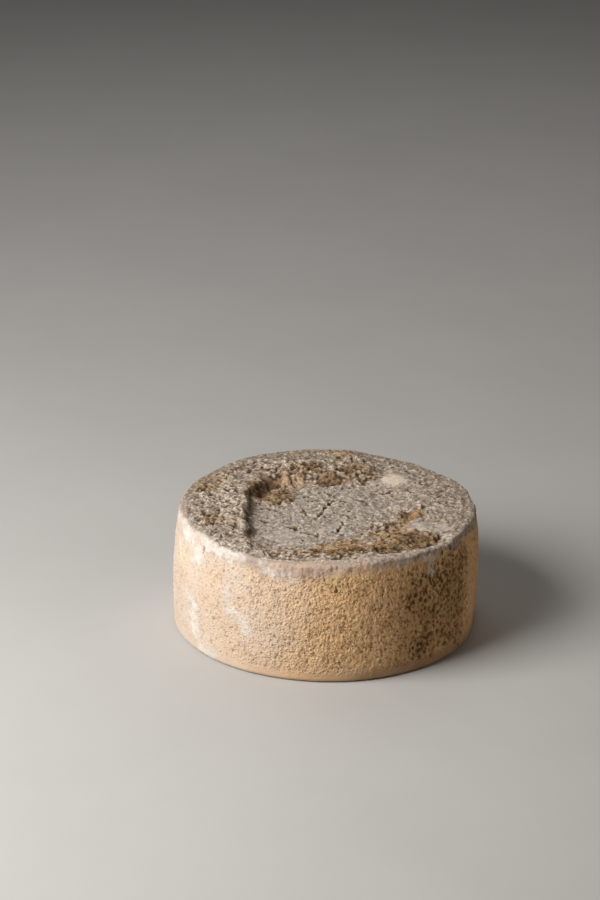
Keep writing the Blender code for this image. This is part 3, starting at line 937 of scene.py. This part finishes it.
crust = {
    "spacing": 0.00060, "cut": 0.1052, "reach": 0.1076, "lift": 0.0005, "bottom": 0.0758, "dive": 0.0022,
    "ground": 0.0012, "lump": 0.0012, "lumpSize": 0.0070, "knob": 0.00105, "knobSize": 0.0036,
    "grain": 0.00052, "grainSize": 0.0021, "pit": 0.0012, "pitCell": 0.0044,
    "inset": 0.0008,                 # how far its outermost points stay behind the side
    "tuck": 0.97,                    # how much narrower the hidden walls are at their foot
    "mapMiddle": 0.5, "mapHalf": 0.49, "hiddenMiddle": 0.06, "hiddenScale": 0.5,
    "darkDepth": 0.0020,             # holes at least this deep are painted fully dark, as painted shade
    # cracks of the floor and crevices of the rim: corners, half width, depth
    "cracks": [
        ([(-0.0078, 0.0162), (-0.0030, 0.0146), (0.0030, 0.0140), (0.0066, 0.0142)], 0.00150, 0.0020),
        ([(0.0066, 0.0142), (0.0040, 0.0100), (0.0026, 0.0080)], 0.00080, 0.0016),
        ([(-0.0165, -0.0020), (-0.0152, -0.0085), (-0.0110, -0.0136)], 0.00085, 0.0024),
        ([(0.0000, 0.0056), (-0.0014, -0.0035), (-0.0040, -0.0110), (-0.0067, -0.0168)], 0.00062, 0.0020),
        ([(0.0118, -0.0225), (0.0106, -0.0290), (0.0086, -0.0370), (0.0075, -0.0432),
          (0.0040, -0.0440)], 0.00070, 0.0026),
        ([(0.0220, 0.0130), (0.0263, 0.0128), (0.0290, 0.0090), (0.0296, 0.0050)], 0.00095, 0.0020),
        ([(0.0105, 0.0120), (0.0158, 0.0104)], 0.00130, 0.0018),
        ([(0.0026, 0.0264), (0.0055, 0.0240), (0.0090, 0.0268)], 0.00120, 0.0020),
        ([(-0.0460, 0.0016), (-0.0400, 0.0000), (-0.0345, -0.0028)], 0.00085, 0.0012),
        ([(-0.0465, -0.0185), (-0.0410, -0.0215)], 0.00080, 0.0012),
        ([(-0.0285, -0.0290), (-0.0240, -0.0325), (-0.0200, -0.0355)], 0.00110, 0.0018),
        ([(-0.0170, -0.0405), (-0.0095, -0.0425), (-0.0060, -0.0460)], 0.00100, 0.0016),
        ([(0.0530, -0.0098), (0.0560, -0.0108), (0.0600, -0.0100)], 0.00120, 0.0016),
        ([(-0.0325, -0.0640), (-0.0245, -0.0668)], 0.00100, 0.0016),
        ([(-0.0100, -0.0790), (0.0000, -0.0815), (0.0120, -0.0790)], 0.00130, 0.0028),
        ([(-0.0330, -0.0720), (-0.0200, -0.0765), (-0.0100, -0.0770)], 0.00080, 0.0020),
        ([(0.0625, -0.0440), (0.0660, -0.0455), (0.0700, -0.0470)], 0.00100, 0.0024),
        ([(0.0480, -0.0560), (0.0520, -0.0625), (0.0600, -0.0670), (0.0610, -0.0710)], 0.00090, 0.0020),
        ([(0.0640, -0.0725), (0.0700, -0.0695), (0.0745, -0.0660)], 0.00110, 0.0024),
        ([(0.0060, -0.0060), (0.0150, -0.0120), (0.0170, -0.0190)], 0.00050, 0.0012),
        ([(0.0260, -0.0240), (0.0330, -0.0300), (0.0320, -0.0380)], 0.00050, 0.0012),
        ([(-0.0440, -0.0480), (-0.0350, -0.0560), (-0.0260, -0.0570)], 0.00070, 0.0014),
        ([(0.0330, 0.0255), (0.0400, 0.0235), (0.0450, 0.0250)], 0.00090, 0.0012),
    ],
    # single holes: x, y, half width, depth
    "holes": [
        (-0.0462, 0.0325, 0.0060, 0.0018), (-0.0415, 0.0395, 0.0050, 0.0017),
        (-0.0080, 0.0162, 0.0015, 0.0020), (0.0026, 0.0084, 0.0013, 0.0020),
        (-0.0068, -0.0170, 0.0013, 0.0022), (-0.0150, -0.0540, 0.0012, 0.0016),
        (-0.0220, -0.0505, 0.0011, 0.0015), (-0.0380, 0.0135, 0.0011, 0.0014),
        (-0.0325, 0.0115, 0.0013, 0.0018), (0.0670, -0.0170, 0.0012, 0.0022),
        (0.0775, -0.0540, 0.0034, 0.0038), (0.0590, -0.0685, 0.0026, 0.0028),
        (0.0074, -0.0434, 0.0017, 0.0026), (-0.0198, -0.0640, 0.0011, 0.0014),
        (-0.0746, 0.0069, 0.0020, 0.0016), (-0.0763, -0.0147, 0.0016, 0.0014),
        (-0.0715, -0.0174, 0.0018, 0.0016), (-0.0794, -0.0387, 0.0024, 0.0022),
        (-0.0860, -0.0245, 0.0017, 0.0014), (-0.0625, 0.0202, 0.0020, 0.0014),
        (-0.0584, 0.0153, 0.0016, 0.0014), (-0.0598, -0.0599, 0.0019, 0.0016),
        (-0.0647, -0.0432, 0.0017, 0.0014), (-0.0840, 0.0117, 0.0015, 0.0012),
        (-0.0630, 0.0626, 0.0026, 0.0016), (-0.0570, 0.0589, 0.0020, 0.0014),
        (-0.0472, 0.0842, 0.0018, 0.0012), (-0.0500, 0.0744, 0.0022, 0.0012),
        (-0.0885, 0.0240, 0.0024, 0.0020), (0.0705, 0.0233, 0.0014, 0.0012),
        (0.0753, 0.0346, 0.0016, 0.0012), (0.0801, 0.0291, 0.0014, 0.0012),
        (0.0825, 0.0164, 0.0014, 0.0010), (0.0863, 0.0038, 0.0016, 0.0012),
        (0.0888, -0.0194, 0.0012, 0.0012), (0.0866, -0.0369, 0.0014, 0.0012),
        (0.0821, -0.0611, 0.0013, 0.0014), (0.0325, -0.0705, 0.0018, 0.0016),
        (0.0407, -0.0675, 0.0018, 0.0016), (0.0155, -0.0695, 0.0016, 0.0014),
        (0.0260, -0.0850, 0.0018, 0.0018), (0.0345, -0.0825, 0.0016, 0.0014),
        (0.0110, -0.0890, 0.0016, 0.0014), (0.0040, 0.0430, 0.0022, 0.0018),
        (-0.0120, 0.0620, 0.0022, 0.0016), (0.0176, 0.0573, 0.0020, 0.0014),
        (0.0292, 0.0482, 0.0018, 0.0014), (-0.0280, -0.0710, 0.0018, 0.0014),
        (-0.0390, -0.0600, 0.0016, 0.0012), (0.0610, -0.0500, 0.0014, 0.0014),
    ],
    # stains: x, y, half width, half depth, turn in degrees, strength
    "brown": [
        (-0.0458, 0.0325, 0.0080, 0.0180, -28, 1.60), (-0.032, 0.024, 0.0090, 0.0150, -20, 0.92),
        (-0.0875, 0.027, 0.0055, 0.0110, 10, 1.00), (-0.011, 0.063, 0.0080, 0.0090, 0, 1.05),
        (0.0165, 0.059, 0.0085, 0.0075, 0, 1.00), (0.003, 0.048, 0.0105, 0.0065, 0, 1.15),
        (0.0245, 0.045, 0.0045, 0.0055, 0, 0.85), (-0.0306, 0.058, 0.0080, 0.0050, 0, 0.62),
        (-0.082, -0.031, 0.0050, 0.0090, 0, 0.95),
        (0.026, -0.082, 0.0340, 0.0060, 8, 1.00), (0.060, -0.060, 0.0100, 0.0120, 30, 1.80),
        (-0.0235, -0.0320, 0.0036, 0.0046, 0, 0.85), (0.070, -0.047, 0.0030, 0.0040, 0, 0.90),
        (0.0555, -0.0130, 0.0034, 0.0040, 0, 1.20), (-0.006, -0.081, 0.0160, 0.0050, 0, 0.85),
        (0.0330, 0.053, 0.0055, 0.0070, 0, 0.90), (-0.042, 0.062, 0.0080, 0.0050, 0, 0.60),
        (-0.062, 0.066, 0.0070, 0.0060, 0, 0.58), (-0.066, 0.030, 0.0050, 0.0080, 0, 0.50),
        (-0.030, -0.086, 0.0160, 0.0040, -10, 0.60), (0.044, -0.034, 0.0090, 0.0080, 0, 0.60),
        (-0.084, -0.012, 0.0040, 0.0060, 0, 0.55), (-0.066, -0.046, 0.0060, 0.0060, 0, 0.50),
    ],
    "tan": [
        (-0.036, 0.026, 0.0110, 0.0190, -20, 1.05), (0.0585, -0.018, 0.0056, 0.0100, 0, 1.00),
        (0.062, -0.060, 0.0160, 0.0150, 20, 1.35), (0.012, 0.093, 0.0120, 0.0070, 0, 0.85),
        (-0.016, 0.059, 0.0200, 0.0110, 0, 0.68), (0.022, 0.060, 0.0190, 0.0130, 0, 0.68),
        (-0.084, 0.034, 0.0100, 0.0160, 0, 0.85), (0.030, -0.074, 0.0420, 0.0110, 8, 1.15),
        (0.052, -0.050, 0.0210, 0.0170, 0, 1.20), (0.018, 0.081, 0.0220, 0.0090, 0, 0.40),
        (-0.072, 0.056, 0.0100, 0.0080, 0, 0.65), (0.014, -0.064, 0.0240, 0.0090, 0, 0.80),
        (0.050, -0.034, 0.0080, 0.0100, 0, 0.80), (-0.050, 0.060, 0.0100, 0.0080, 0, 0.60),
        (0.086, 0.030, 0.0060, 0.0090, 0, 0.50), (-0.080, -0.030, 0.0090, 0.0120, 0, 0.70),
        (-0.020, -0.082, 0.0260, 0.0060, -6, 0.62),
    ],
    "ochre": [
        (0.0600, -0.0165, 0.0050, 0.0080, -20, 1.70), (0.0575, -0.0225, 0.0034, 0.0060, 0, 1.40),
        (0.064, -0.063, 0.0110, 0.0100, 20, 1.35),
        (0.053, -0.056, 0.0120, 0.0100, 0, 1.25), (-0.033, 0.027, 0.0090, 0.0110, -20, 0.58),
        (-0.0875, 0.026, 0.0055, 0.0100, 10, 0.72), (-0.018, 0.063, 0.0090, 0.0070, 0, 0.65),
        (0.018, 0.063, 0.0120, 0.0070, 0, 0.60), (0.003, 0.050, 0.0090, 0.0060, 0, 0.55),
        (0.028, -0.076, 0.0340, 0.0080, 8, 1.00), (0.010, 0.092, 0.0070, 0.0040, 0, 0.50),
        (0.010, -0.061, 0.0160, 0.0050, 0, 0.70), (-0.043, -0.019, 0.0050, 0.0040, 0, 0.34),
        (-0.079, -0.034, 0.0060, 0.0080, 0, 0.50), (-0.045, -0.064, 0.0090, 0.0040, -20, 0.46),
    ],
    "rose": [
        (0.011, 0.092, 0.0100, 0.0050, 0, 0.70),
        (-0.0270, 0.045, 0.0090, 0.0075, 0, 1.05), (-0.0170, 0.049, 0.0075, 0.0060, 0, 0.95),
        (-0.0020, 0.058, 0.0050, 0.0045, 0, 0.90), (0.0105, 0.051, 0.0070, 0.0055, 0, 0.95),
        (0.022, 0.074, 0.0080, 0.0050, 0, 0.75), (-0.022, 0.070, 0.0070, 0.0040, 0, 0.60),
        (0.048, -0.058, 0.0120, 0.0070, 0, 0.65), (0.016, -0.072, 0.0160, 0.0050, 0, 0.60),
        (-0.070, -0.032, 0.0050, 0.0060, 0, 0.60),
    ],
    "cream": [
        (0.0495, 0.0455, 0.0076, 0.0098, 0, 0.90), (-0.070, -0.004, 0.0160, 0.0440, 0, 0.92),
        (-0.064, -0.068, 0.0120, 0.0040, -30, 0.65), (0.080, 0.020, 0.0130, 0.0300, 0, 0.18),
        (0.077, -0.036, 0.0090, 0.0080, 0, 0.45), (-0.018, -0.073, 0.0180, 0.0030, 0, 0.70),
        (0.065, -0.038, 0.0050, 0.0050, 0, 0.25), (0.088, -0.056, 0.0080, 0.0100, 0, 0.45),
        (0.063, -0.021, 0.0026, 0.0070, -35, 1.00), (0.056, -0.006, 0.0100, 0.0034, 0, 0.95),
        (0.046, -0.003, 0.0080, 0.0040, 0, 0.70), (-0.050, -0.066, 0.0080, 0.0030, 0, 0.60),
    ],
    "calm": [                        # bluish floor, with fewer flecks
        (-0.014, -0.016, 0.0400, 0.0500, 0, 1.0), (0.026, 0.008, 0.0240, 0.0340, 0, 0.8),
    ],
    "smooth": [                      # blisters of new mould without grain
        (0.0495, 0.0470, 0.0090, 0.0110, 0, 1.00), (0.065, -0.038, 0.0075, 0.0070, 0, 1.00),
        (-0.047, 0.030, 0.0110, 0.0130, 0, 0.30),
        (0.081, -0.039, 0.0080, 0.0050, 20, 0.90), (0.088, -0.056, 0.0060, 0.0070, 0, 0.70),
        (-0.030, -0.047, 0.0110, 0.0100, 0, 0.55), (0.002, -0.034, 0.0080, 0.0080, 0, 0.50),
    ],
    "crumbly": [                     # the coarsest lumps
        (-0.077, 0.002, 0.0200, 0.0620, 0, 1.0), (-0.010, 0.062, 0.0520, 0.0150, 0, 1.0),
        (0.062, -0.058, 0.0180, 0.0160, 0, 0.9), (0.010, -0.076, 0.0600, 0.0080, 0, 0.6),
        (0.060, 0.040, 0.0300, 0.0300, 0, 0.35),
    ],
}


def stainMask(x, y, spots):
    mask = np.zeros(x.shape)
    for centreX, centreY, halfWidth, halfDepth, turn, strength in spots:
        c, s = cos(radians(turn)), sin(radians(turn))
        dx, dy = x - centreX, y - centreY
        across, along = (dx * c + dy * s) / halfWidth, (dy * c - dx * s) / halfDepth
        mask = np.maximum(mask, strength * np.exp(-(across ** 2 + along ** 2) ** 1.2 * 0.6))
    return mask


def blurred(field, reach):           # a running mean, twice, both ways
    for _ in range(2):
        for axis in (0, 1):
            padded = np.pad(field, [(reach + 1, reach) if a == axis else (0, 0) for a in (0, 1)], "edge")
            total = np.moveaxis(np.cumsum(padded, axis), axis, 0)
            field = np.moveaxis((total[2 * reach + 1:] - total[:-2 * reach - 1]) / (2 * reach + 1), 0, axis)
    return field


def crustFields():
    # height and masks of the crust on a square lattice over the upper face
    side = int(2 * crust["reach"] / crust["spacing"]) + 5
    line = (np.arange(side) - (side - 1) / 2) * crust["spacing"]
    x, y = np.meshgrid(line, line)
    radius, angle = np.hypot(x, y), np.degrees(np.arctan2(y, x))
    nothing = np.zeros(x.shape)

    def noise(size, seed, layers=1):
        return layeredNoise(x, y, nothing, size, seed, layers)

    base = faceHeight(x, y)
    share = hollowShare(x, y)
    bendX, bendY = x + 0.0030 * noise(0.011, 201, 3), y + 0.0030 * noise(0.011, 202, 3)
    uneven = 0.95 + 0.55 * noise(0.007, 218, 3)
    stains = ("brown", "tan", "ochre", "rose")
    masks = {name: stainMask(bendX, bendY, crust[name]) * uneven for name in stains}
    masks["cream"] = stainMask(bendX, bendY, crust["cream"])
    stained = np.clip(masks["brown"] + masks["tan"], 0, 1)
    calm = np.clip(stainMask(bendX, bendY, crust["calm"]) * 1.35, 0, 1)
    calm = calm * ramp(0.55, 0.95, share + 0.6 * (x > 0.03)) * (1 - 0.7 * stained)
    smooth = np.clip(stainMask(bendX, bendY, crust["smooth"]), 0, 1)
    crumbly = np.maximum(stainMask(bendX, bendY, crust["crumbly"]), 0.8 * stained)
    crumbly = np.clip(crumbly * (1 - 0.8 * calm), 0, 1) * (1 - smooth)
    for name in stains:
        masks[name] = masks[name] * (1 - 0.85 * smooth * (x > 0.05))
    rough = 1 - 0.75 * calm

    # uneven ground with crumbs of three sizes lying on it
    bold = np.clip(0.90 + 0.55 * noise(0.014, 215), 0.2, 1.6)
    outline = ramp(0.092, 0.100, radius) * ramp(-0.02, 0.03, y)
    bold = bold * (1 - 0.60 * outline)
    slowX, slowY = x + 0.0022 * noise(0.012, 219), y + 0.0022 * noise(0.012, 220)
    relief = crust["ground"] * noise(0.0090, 206, 2) * (0.40 + 0.60 * rough)
    relief += 0.16 * crust["ground"] * noise(0.0026, 231, 2)
    relief = relief * (1 - 0.45 * outline)
    knobShare = 0.42 * (1 - calm) + 0.58 * crumbly + 0.50 * calm
    for name, seed, cover, amount in (("lump", 203, 0.80, (0.30 * calm + crumbly) * bold),
                                      ("knob", 204, 0.85, knobShare * bold),
                                      ("grain", 205, 0.80, 0.85 - 0.25 * calm)):
        relief += crust[name] * crumbs(slowX, slowY, crust[name + "Size"], seed, cover) * amount
    leftward = -x - 0.03             # how far past the middle of the hollow's left half
    leftWall = np.exp(-((share - 0.5) / 0.30) ** 2) * ramp(0.0, 0.02, leftward)
    relief = relief * (1 - 0.80 * smooth) * (1 - 0.38 * leftWall)

    # the front strip lies in flakes that follow the rim
    edge = edgeRadius(angle)
    strip = ramp(0.068, 0.078, radius) * (1 - ramp(-0.001, 0.001, radius - edge))
    strip = strip * np.exp(-(turnedAway(angle, -96) / 50) ** 4)
    relief += 0.0008 * softNoise(np.radians(angle) * 0.090 / 4.5, radius, nothing, 0.0026, 207) * strip

    # round pits, then the single holes and the cracks
    raggedX, raggedY = slowX + 0.0009 * noise(0.0028, 232), slowY + 0.0009 * noise(0.0028, 233)
    nearest, own, other = cellPattern(raggedX, raggedY, crust["pitCell"], 208)
    present = ramp(0.62, 0.68, own + 0.10 * noise(0.011, 234) + 0.04 * crumbly - smooth)
    pits = present * (1 - ramp(0.4, 1.3, nearest / (0.11 + 0.27 * other ** 2)))
    relief -= crust["pit"] * pits
    # cracks gathers the painted shade of each crack and hole: the deeper the cut, the darker it is painted
    cracks = np.zeros(x.shape)
    broken = noise(0.0038, 216)
    ragged = 1 + 0.65 * noise(0.0030, 210, 2)
    wavyX, wavyY = x + 0.0013 * noise(0.0042, 211, 2), y + 0.0013 * noise(0.0042, 212, 2)
    for corners, halfWidth, depth in crust["cracks"]:
        away = awayFromLine(wavyX, wavyY, corners)
        cut = np.exp(-(away / (1.25 * halfWidth * ragged)) ** 2)
        cut = cut * (0.42 + 0.58 * ramp(-0.30, 0.20, broken))
        relief = relief * (1 - 0.7 * cut) - depth * cut
        cracks = np.maximum(cracks, ramp(0.06, 0.60, cut))
    for holeX, holeY, halfWidth, depth in crust["holes"]:
        away = np.hypot(bendX - holeX, bendY - holeY)
        cut = np.exp(-(away / (halfWidth * ragged)) ** 2)
        relief -= depth * cut
        cracks = np.maximum(cracks, cut * min(1, depth / crust["darkDepth"]))

    # where the crust covers the rim it takes the lip's own crumbs, so that both surfaces meet
    inward = radius - sideShift(angle, nothing + wheel["rimHeight"], radius)
    over = ramp(0.1042, 0.1060, edge)
    meet = ramp(0.0960, 0.1000, inward) * over
    relief = relief * (1 - meet) + wheel["lipLump"] * lipCrumbs(x, y, x, y, nothing) * meet

    # elsewhere the edge thins out and dives under the rind of the rim
    beyond = inward - edge - 0.00015 * noise(0.0030, 213)
    thin = ramp(-0.0020, 0.0008, beyond) * (1 - over)
    fade = ramp(-0.0085, -0.0016, beyond) * (1 - over)
    rimCurve = np.clip(inward - flatEdge, 0, wheel["rimRound"] * 0.999)
    fall = wheel["rimRound"] - np.sqrt(wheel["rimRound"] ** 2 - rimCurve ** 2)
    lift = crust["lift"] * (1 - fade) * (1 - meet)
    height = base + lift - crust["dive"] * thin + relief * (1 - 0.95 * fade) - fall
    height -= 0.006 * ramp(wheel["rimRadius"] - crust["inset"], crust["cut"], inward)
    height -= 0.0009 * ramp(0.1030, 0.1042, inward)
    masks["rimmed"] = ramp(-0.0060, 0.0004, beyond) * (1 - over)

    # dark patches, darker in the low places between the crumbs as painted shade, and a dark band towards the
    # back
    spread = layeredNoise(bendX, bendY, nothing, 0.0085, 222)
    # painted shade: sunk is how far a place lies below its surroundings
    sunk = ramp(-0.0002, 0.0012, blurred(relief, 7) - relief)
    murk = (ramp(0.02, 0.50, spread) + 0.7 * sunk) * (0.22 + 0.78 * crumbly) * (1 - 0.9 * smooth)
    masks["murk"] = np.maximum(np.clip(murk, 0, 1), 0.55 * ramp(0.066, 0.084, y))

    # the gaps and pits are darkened, partly dark dirt and partly painted shade; the lumps' tops are made
    # paler, partly dry mould and partly painted highlight
    deep = blurred(relief, 2) - relief
    low = blurred(relief, 6) - relief
    cavity = ramp(0.00008, 0.00060, deep + 0.6 * low)
    # partly painted shade: the brown and tan stains are made stronger in the hollows between the crumbs
    masks["brown"] = masks["brown"] * (0.72 + 0.55 * cavity)
    masks["tan"] = masks["tan"] * (0.80 + 0.40 * cavity)
    masks["smooth"] = smooth
    masks["calm"] = np.maximum(calm, 0.9 * smooth * (1 - ramp(0.3, 0.7, masks["cream"])))
    # painted shade with some dirt: the deeper a place lies among its neighbours, the darker it is painted
    dirtAndShade = cavity * (0.50 + 0.35 * crumbly + 0.25 * stained) * (1 - 0.35 * calm)
    # painted shade along the foot of the hollow's left wall, partly dark mould, fading towards the front
    wallFoot = np.exp(-((share - 0.55) / 0.38) ** 2) * ramp(0.0, 0.03, leftward) * ramp(-0.064, -0.048, y)
    dirtAndShade = np.maximum(dirtAndShade, 0.80 * wallFoot * (1 + 0.6 * noise(0.004, 217)))
    masks["pit"] = np.clip(np.maximum(dirtAndShade, np.maximum(0.85 * pits, cracks)), 0, 1)
    # painted highlight with some dry mould: the higher a place stands over its neighbours, the paler it is
    # painted
    masks["cap"] = ramp(0.00008, 0.00050, -deep - 0.6 * low) * (0.60 + 0.40 * crumbly)
    return x, y, inward, height, masks


def makeCrust():
    x, y, inward, height, masks = crustFields()
    side = x.shape[0]
    centre = 0.25 * (inward[:-1, :-1] + inward[1:, :-1] + inward[:-1, 1:] + inward[1:, 1:])
    cellY, cellX = np.nonzero(centre < crust["cut"])
    corner = cellY * side + cellX
    quads = np.stack([corner, corner + 1, corner + side + 1, corner + side], -1)
    used = np.unique(quads)
    renumber = np.full(side * side, -1)
    renumber[used] = np.arange(len(used))
    quads = renumber[quads]
    points = np.stack([x.ravel()[used], y.ravel()[used], height.ravel()[used]], -1)
    around = np.degrees(np.arctan2(points[:, 1], points[:, 0]))
    limit = wheel["rimRadius"] - crust["inset"] + sideStand(around, wheel["rimHeight"])
    pull = np.minimum(1, limit / np.maximum(np.hypot(points[:, 0], points[:, 1]), 1e-6))
    points[:, :2] *= pull[:, None]

    # the outline of the lattice goes down inside the wheel and is closed by one flat face
    edges = np.concatenate([quads[:, [0, 1]], quads[:, [1, 2]], quads[:, [2, 3]], quads[:, [3, 0]]])
    pairs = {(int(a), int(b)) for a, b in edges}
    following = {a: b for a, b in pairs if (b, a) not in pairs}
    outline = [min(following)]
    while following[outline[-1]] != outline[0]:
        outline.append(following[outline[-1]])
    lowPoints = points[outline] * np.array([crust["tuck"], crust["tuck"], 1])
    lowPoints[:, 2] = crust["bottom"]
    first, count = len(points), len(outline)
    points = np.concatenate([points, lowPoints])
    faces = [tuple(q) for q in quads.tolist()]
    for i in range(count):
        n = (i + 1) % count
        faces.append((outline[n], outline[i], first + i, first + n))
    faces.append(tuple(first + i for i in reversed(range(count))))
    for name, values in masks.items():
        kept = values.ravel()[used]
        masks[name] = np.concatenate([kept, kept[outline]])

    # the bake map: the face fills it, the hidden walls and bottom lie small in one corner
    piece = meshPiece("mouldCrust", points, faces, masks, crustMaterial)
    corners = np.empty(len(piece.data.loops), dtype=np.int64)
    piece.data.loops.foreach_get("vertex_index", corners)
    seen = np.arange(len(corners)) < 4 * len(quads)
    place = points[corners, :2]
    onFace = crust["mapMiddle"] + place * crust["mapHalf"] / crust["reach"]
    tucked = crust["hiddenMiddle"] + place * crust["hiddenScale"]
    setBakeMap(piece, *np.where(seen[:, None], onFace, tucked).T)
    return piece


crustPiece = makeCrust()
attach(crustPiece, "root")


# ---- floor, light and camera

studio = {
    "floorSize": 12.0, "floorDrop": 0.0002, "floorColour": (0.46, 0.45, 0.435, 1), "floorPatch": 0.15,
    "sky": (1.0, 0.95, 0.88, 1), "skyStrength": 0.05,
}

# degrees round the wheel and above the floor, metres away and across, watts, colour
lights = {
    "keyLight": {"turn": -152, "rise": 38, "away": 1.30, "size": 0.80, "power": 26.5,
                 "colour": (1.0, 0.985, 0.96)},
    "fillLight": {"turn": -8, "rise": 26, "away": 1.80, "size": 1.20, "power": 4.2,
                  "colour": (1.0, 0.84, 0.66)},
    "backLight": {"turn": 95, "rise": 50, "away": 1.70, "size": 1.20, "power": 4.0,
                  "colour": (0.97, 0.98, 1.0)},
}


def addToScene(name, data):
    thing = bpy.data.objects.new(name, data)
    bpy.context.scene.collection.objects.link(thing)
    return thing


def makeFloor():
    mesh = bpy.data.meshes.new("floor")
    half = studio["floorSize"] / 2
    corners = [(-half, -half, 0), (half, -half, 0), (half, half, 0), (-half, half, 0)]
    mesh.from_pydata(corners, [], [(0, 1, 2, 3)])
    material, tree, shader = startMaterial("paleFloor", 0.7, 0.3)
    darker = tuple(c * 0.97 for c in studio["floorColour"][:3]) + (1,)
    tone = placeGroup(tree, driftGroup, One=studio["floorColour"], Two=darker, Size=studio["floorPatch"])
    feed(tree, shader["Base Color"], tone["Color"])
    layOut(tree)
    mesh.materials.append(material)
    floor = addToScene("floor", mesh)
    floor.location.z = -studio["floorDrop"]


def addSoftLight(name, turn, rise, away, size, power, colour):
    light = bpy.data.lights.new(name, "AREA")
    light.shape = "SQUARE"
    light.size = size
    light.energy = power
    light.color = colour
    lamp = addToScene(name, light)
    aim = Vector((0, 0, wheel["rimHeight"] / 2))
    turn, rise = radians(turn), radians(rise)
    lamp.location = aim + away * Vector((cos(rise) * cos(turn), cos(rise) * sin(turn), sin(rise)))
    lamp.rotation_euler = (aim - lamp.location).to_track_quat("-Z", "Y").to_euler()


def lightStudio():
    for name, settings in lights.items():
        addSoftLight(name, **settings)
    world = bpy.data.worlds.new("softRoom")
    bpy.context.scene.world = world
    world.use_nodes = True
    world.node_tree.nodes["Background"].inputs["Color"].default_value = studio["sky"]
    world.node_tree.nodes["Background"].inputs["Strength"].default_value = studio["skyStrength"]
    bpy.context.scene.view_settings.view_transform = "Standard"


view = {"away": 2.0337, "pitch": 22.245, "roll": 0.633, "aim": (-0.01914, 0.0, 0.12895), "lens": 115.0}


def addCamera():
    camera = bpy.data.cameras.new("viewCamera")
    camera.lens = view["lens"]
    camera.sensor_width = 36
    camera.sensor_fit = "AUTO"
    camera.clip_start = 0.05
    stand = addToScene("viewCamera", camera)
    pitch = radians(view["pitch"])
    stand.location = Vector(view["aim"]) + view["away"] * Vector((0, -cos(pitch), sin(pitch)))
    stand.rotation_mode = "QUATERNION"
    stand.rotation_quaternion = (Quaternion((1, 0, 0), pi / 2 - pitch)
                                 @ Quaternion((0, 0, 1), radians(view["roll"])))
    bpy.context.scene.camera = stand


makeFloor()
lightStudio()
addCamera()
print("studio ready")
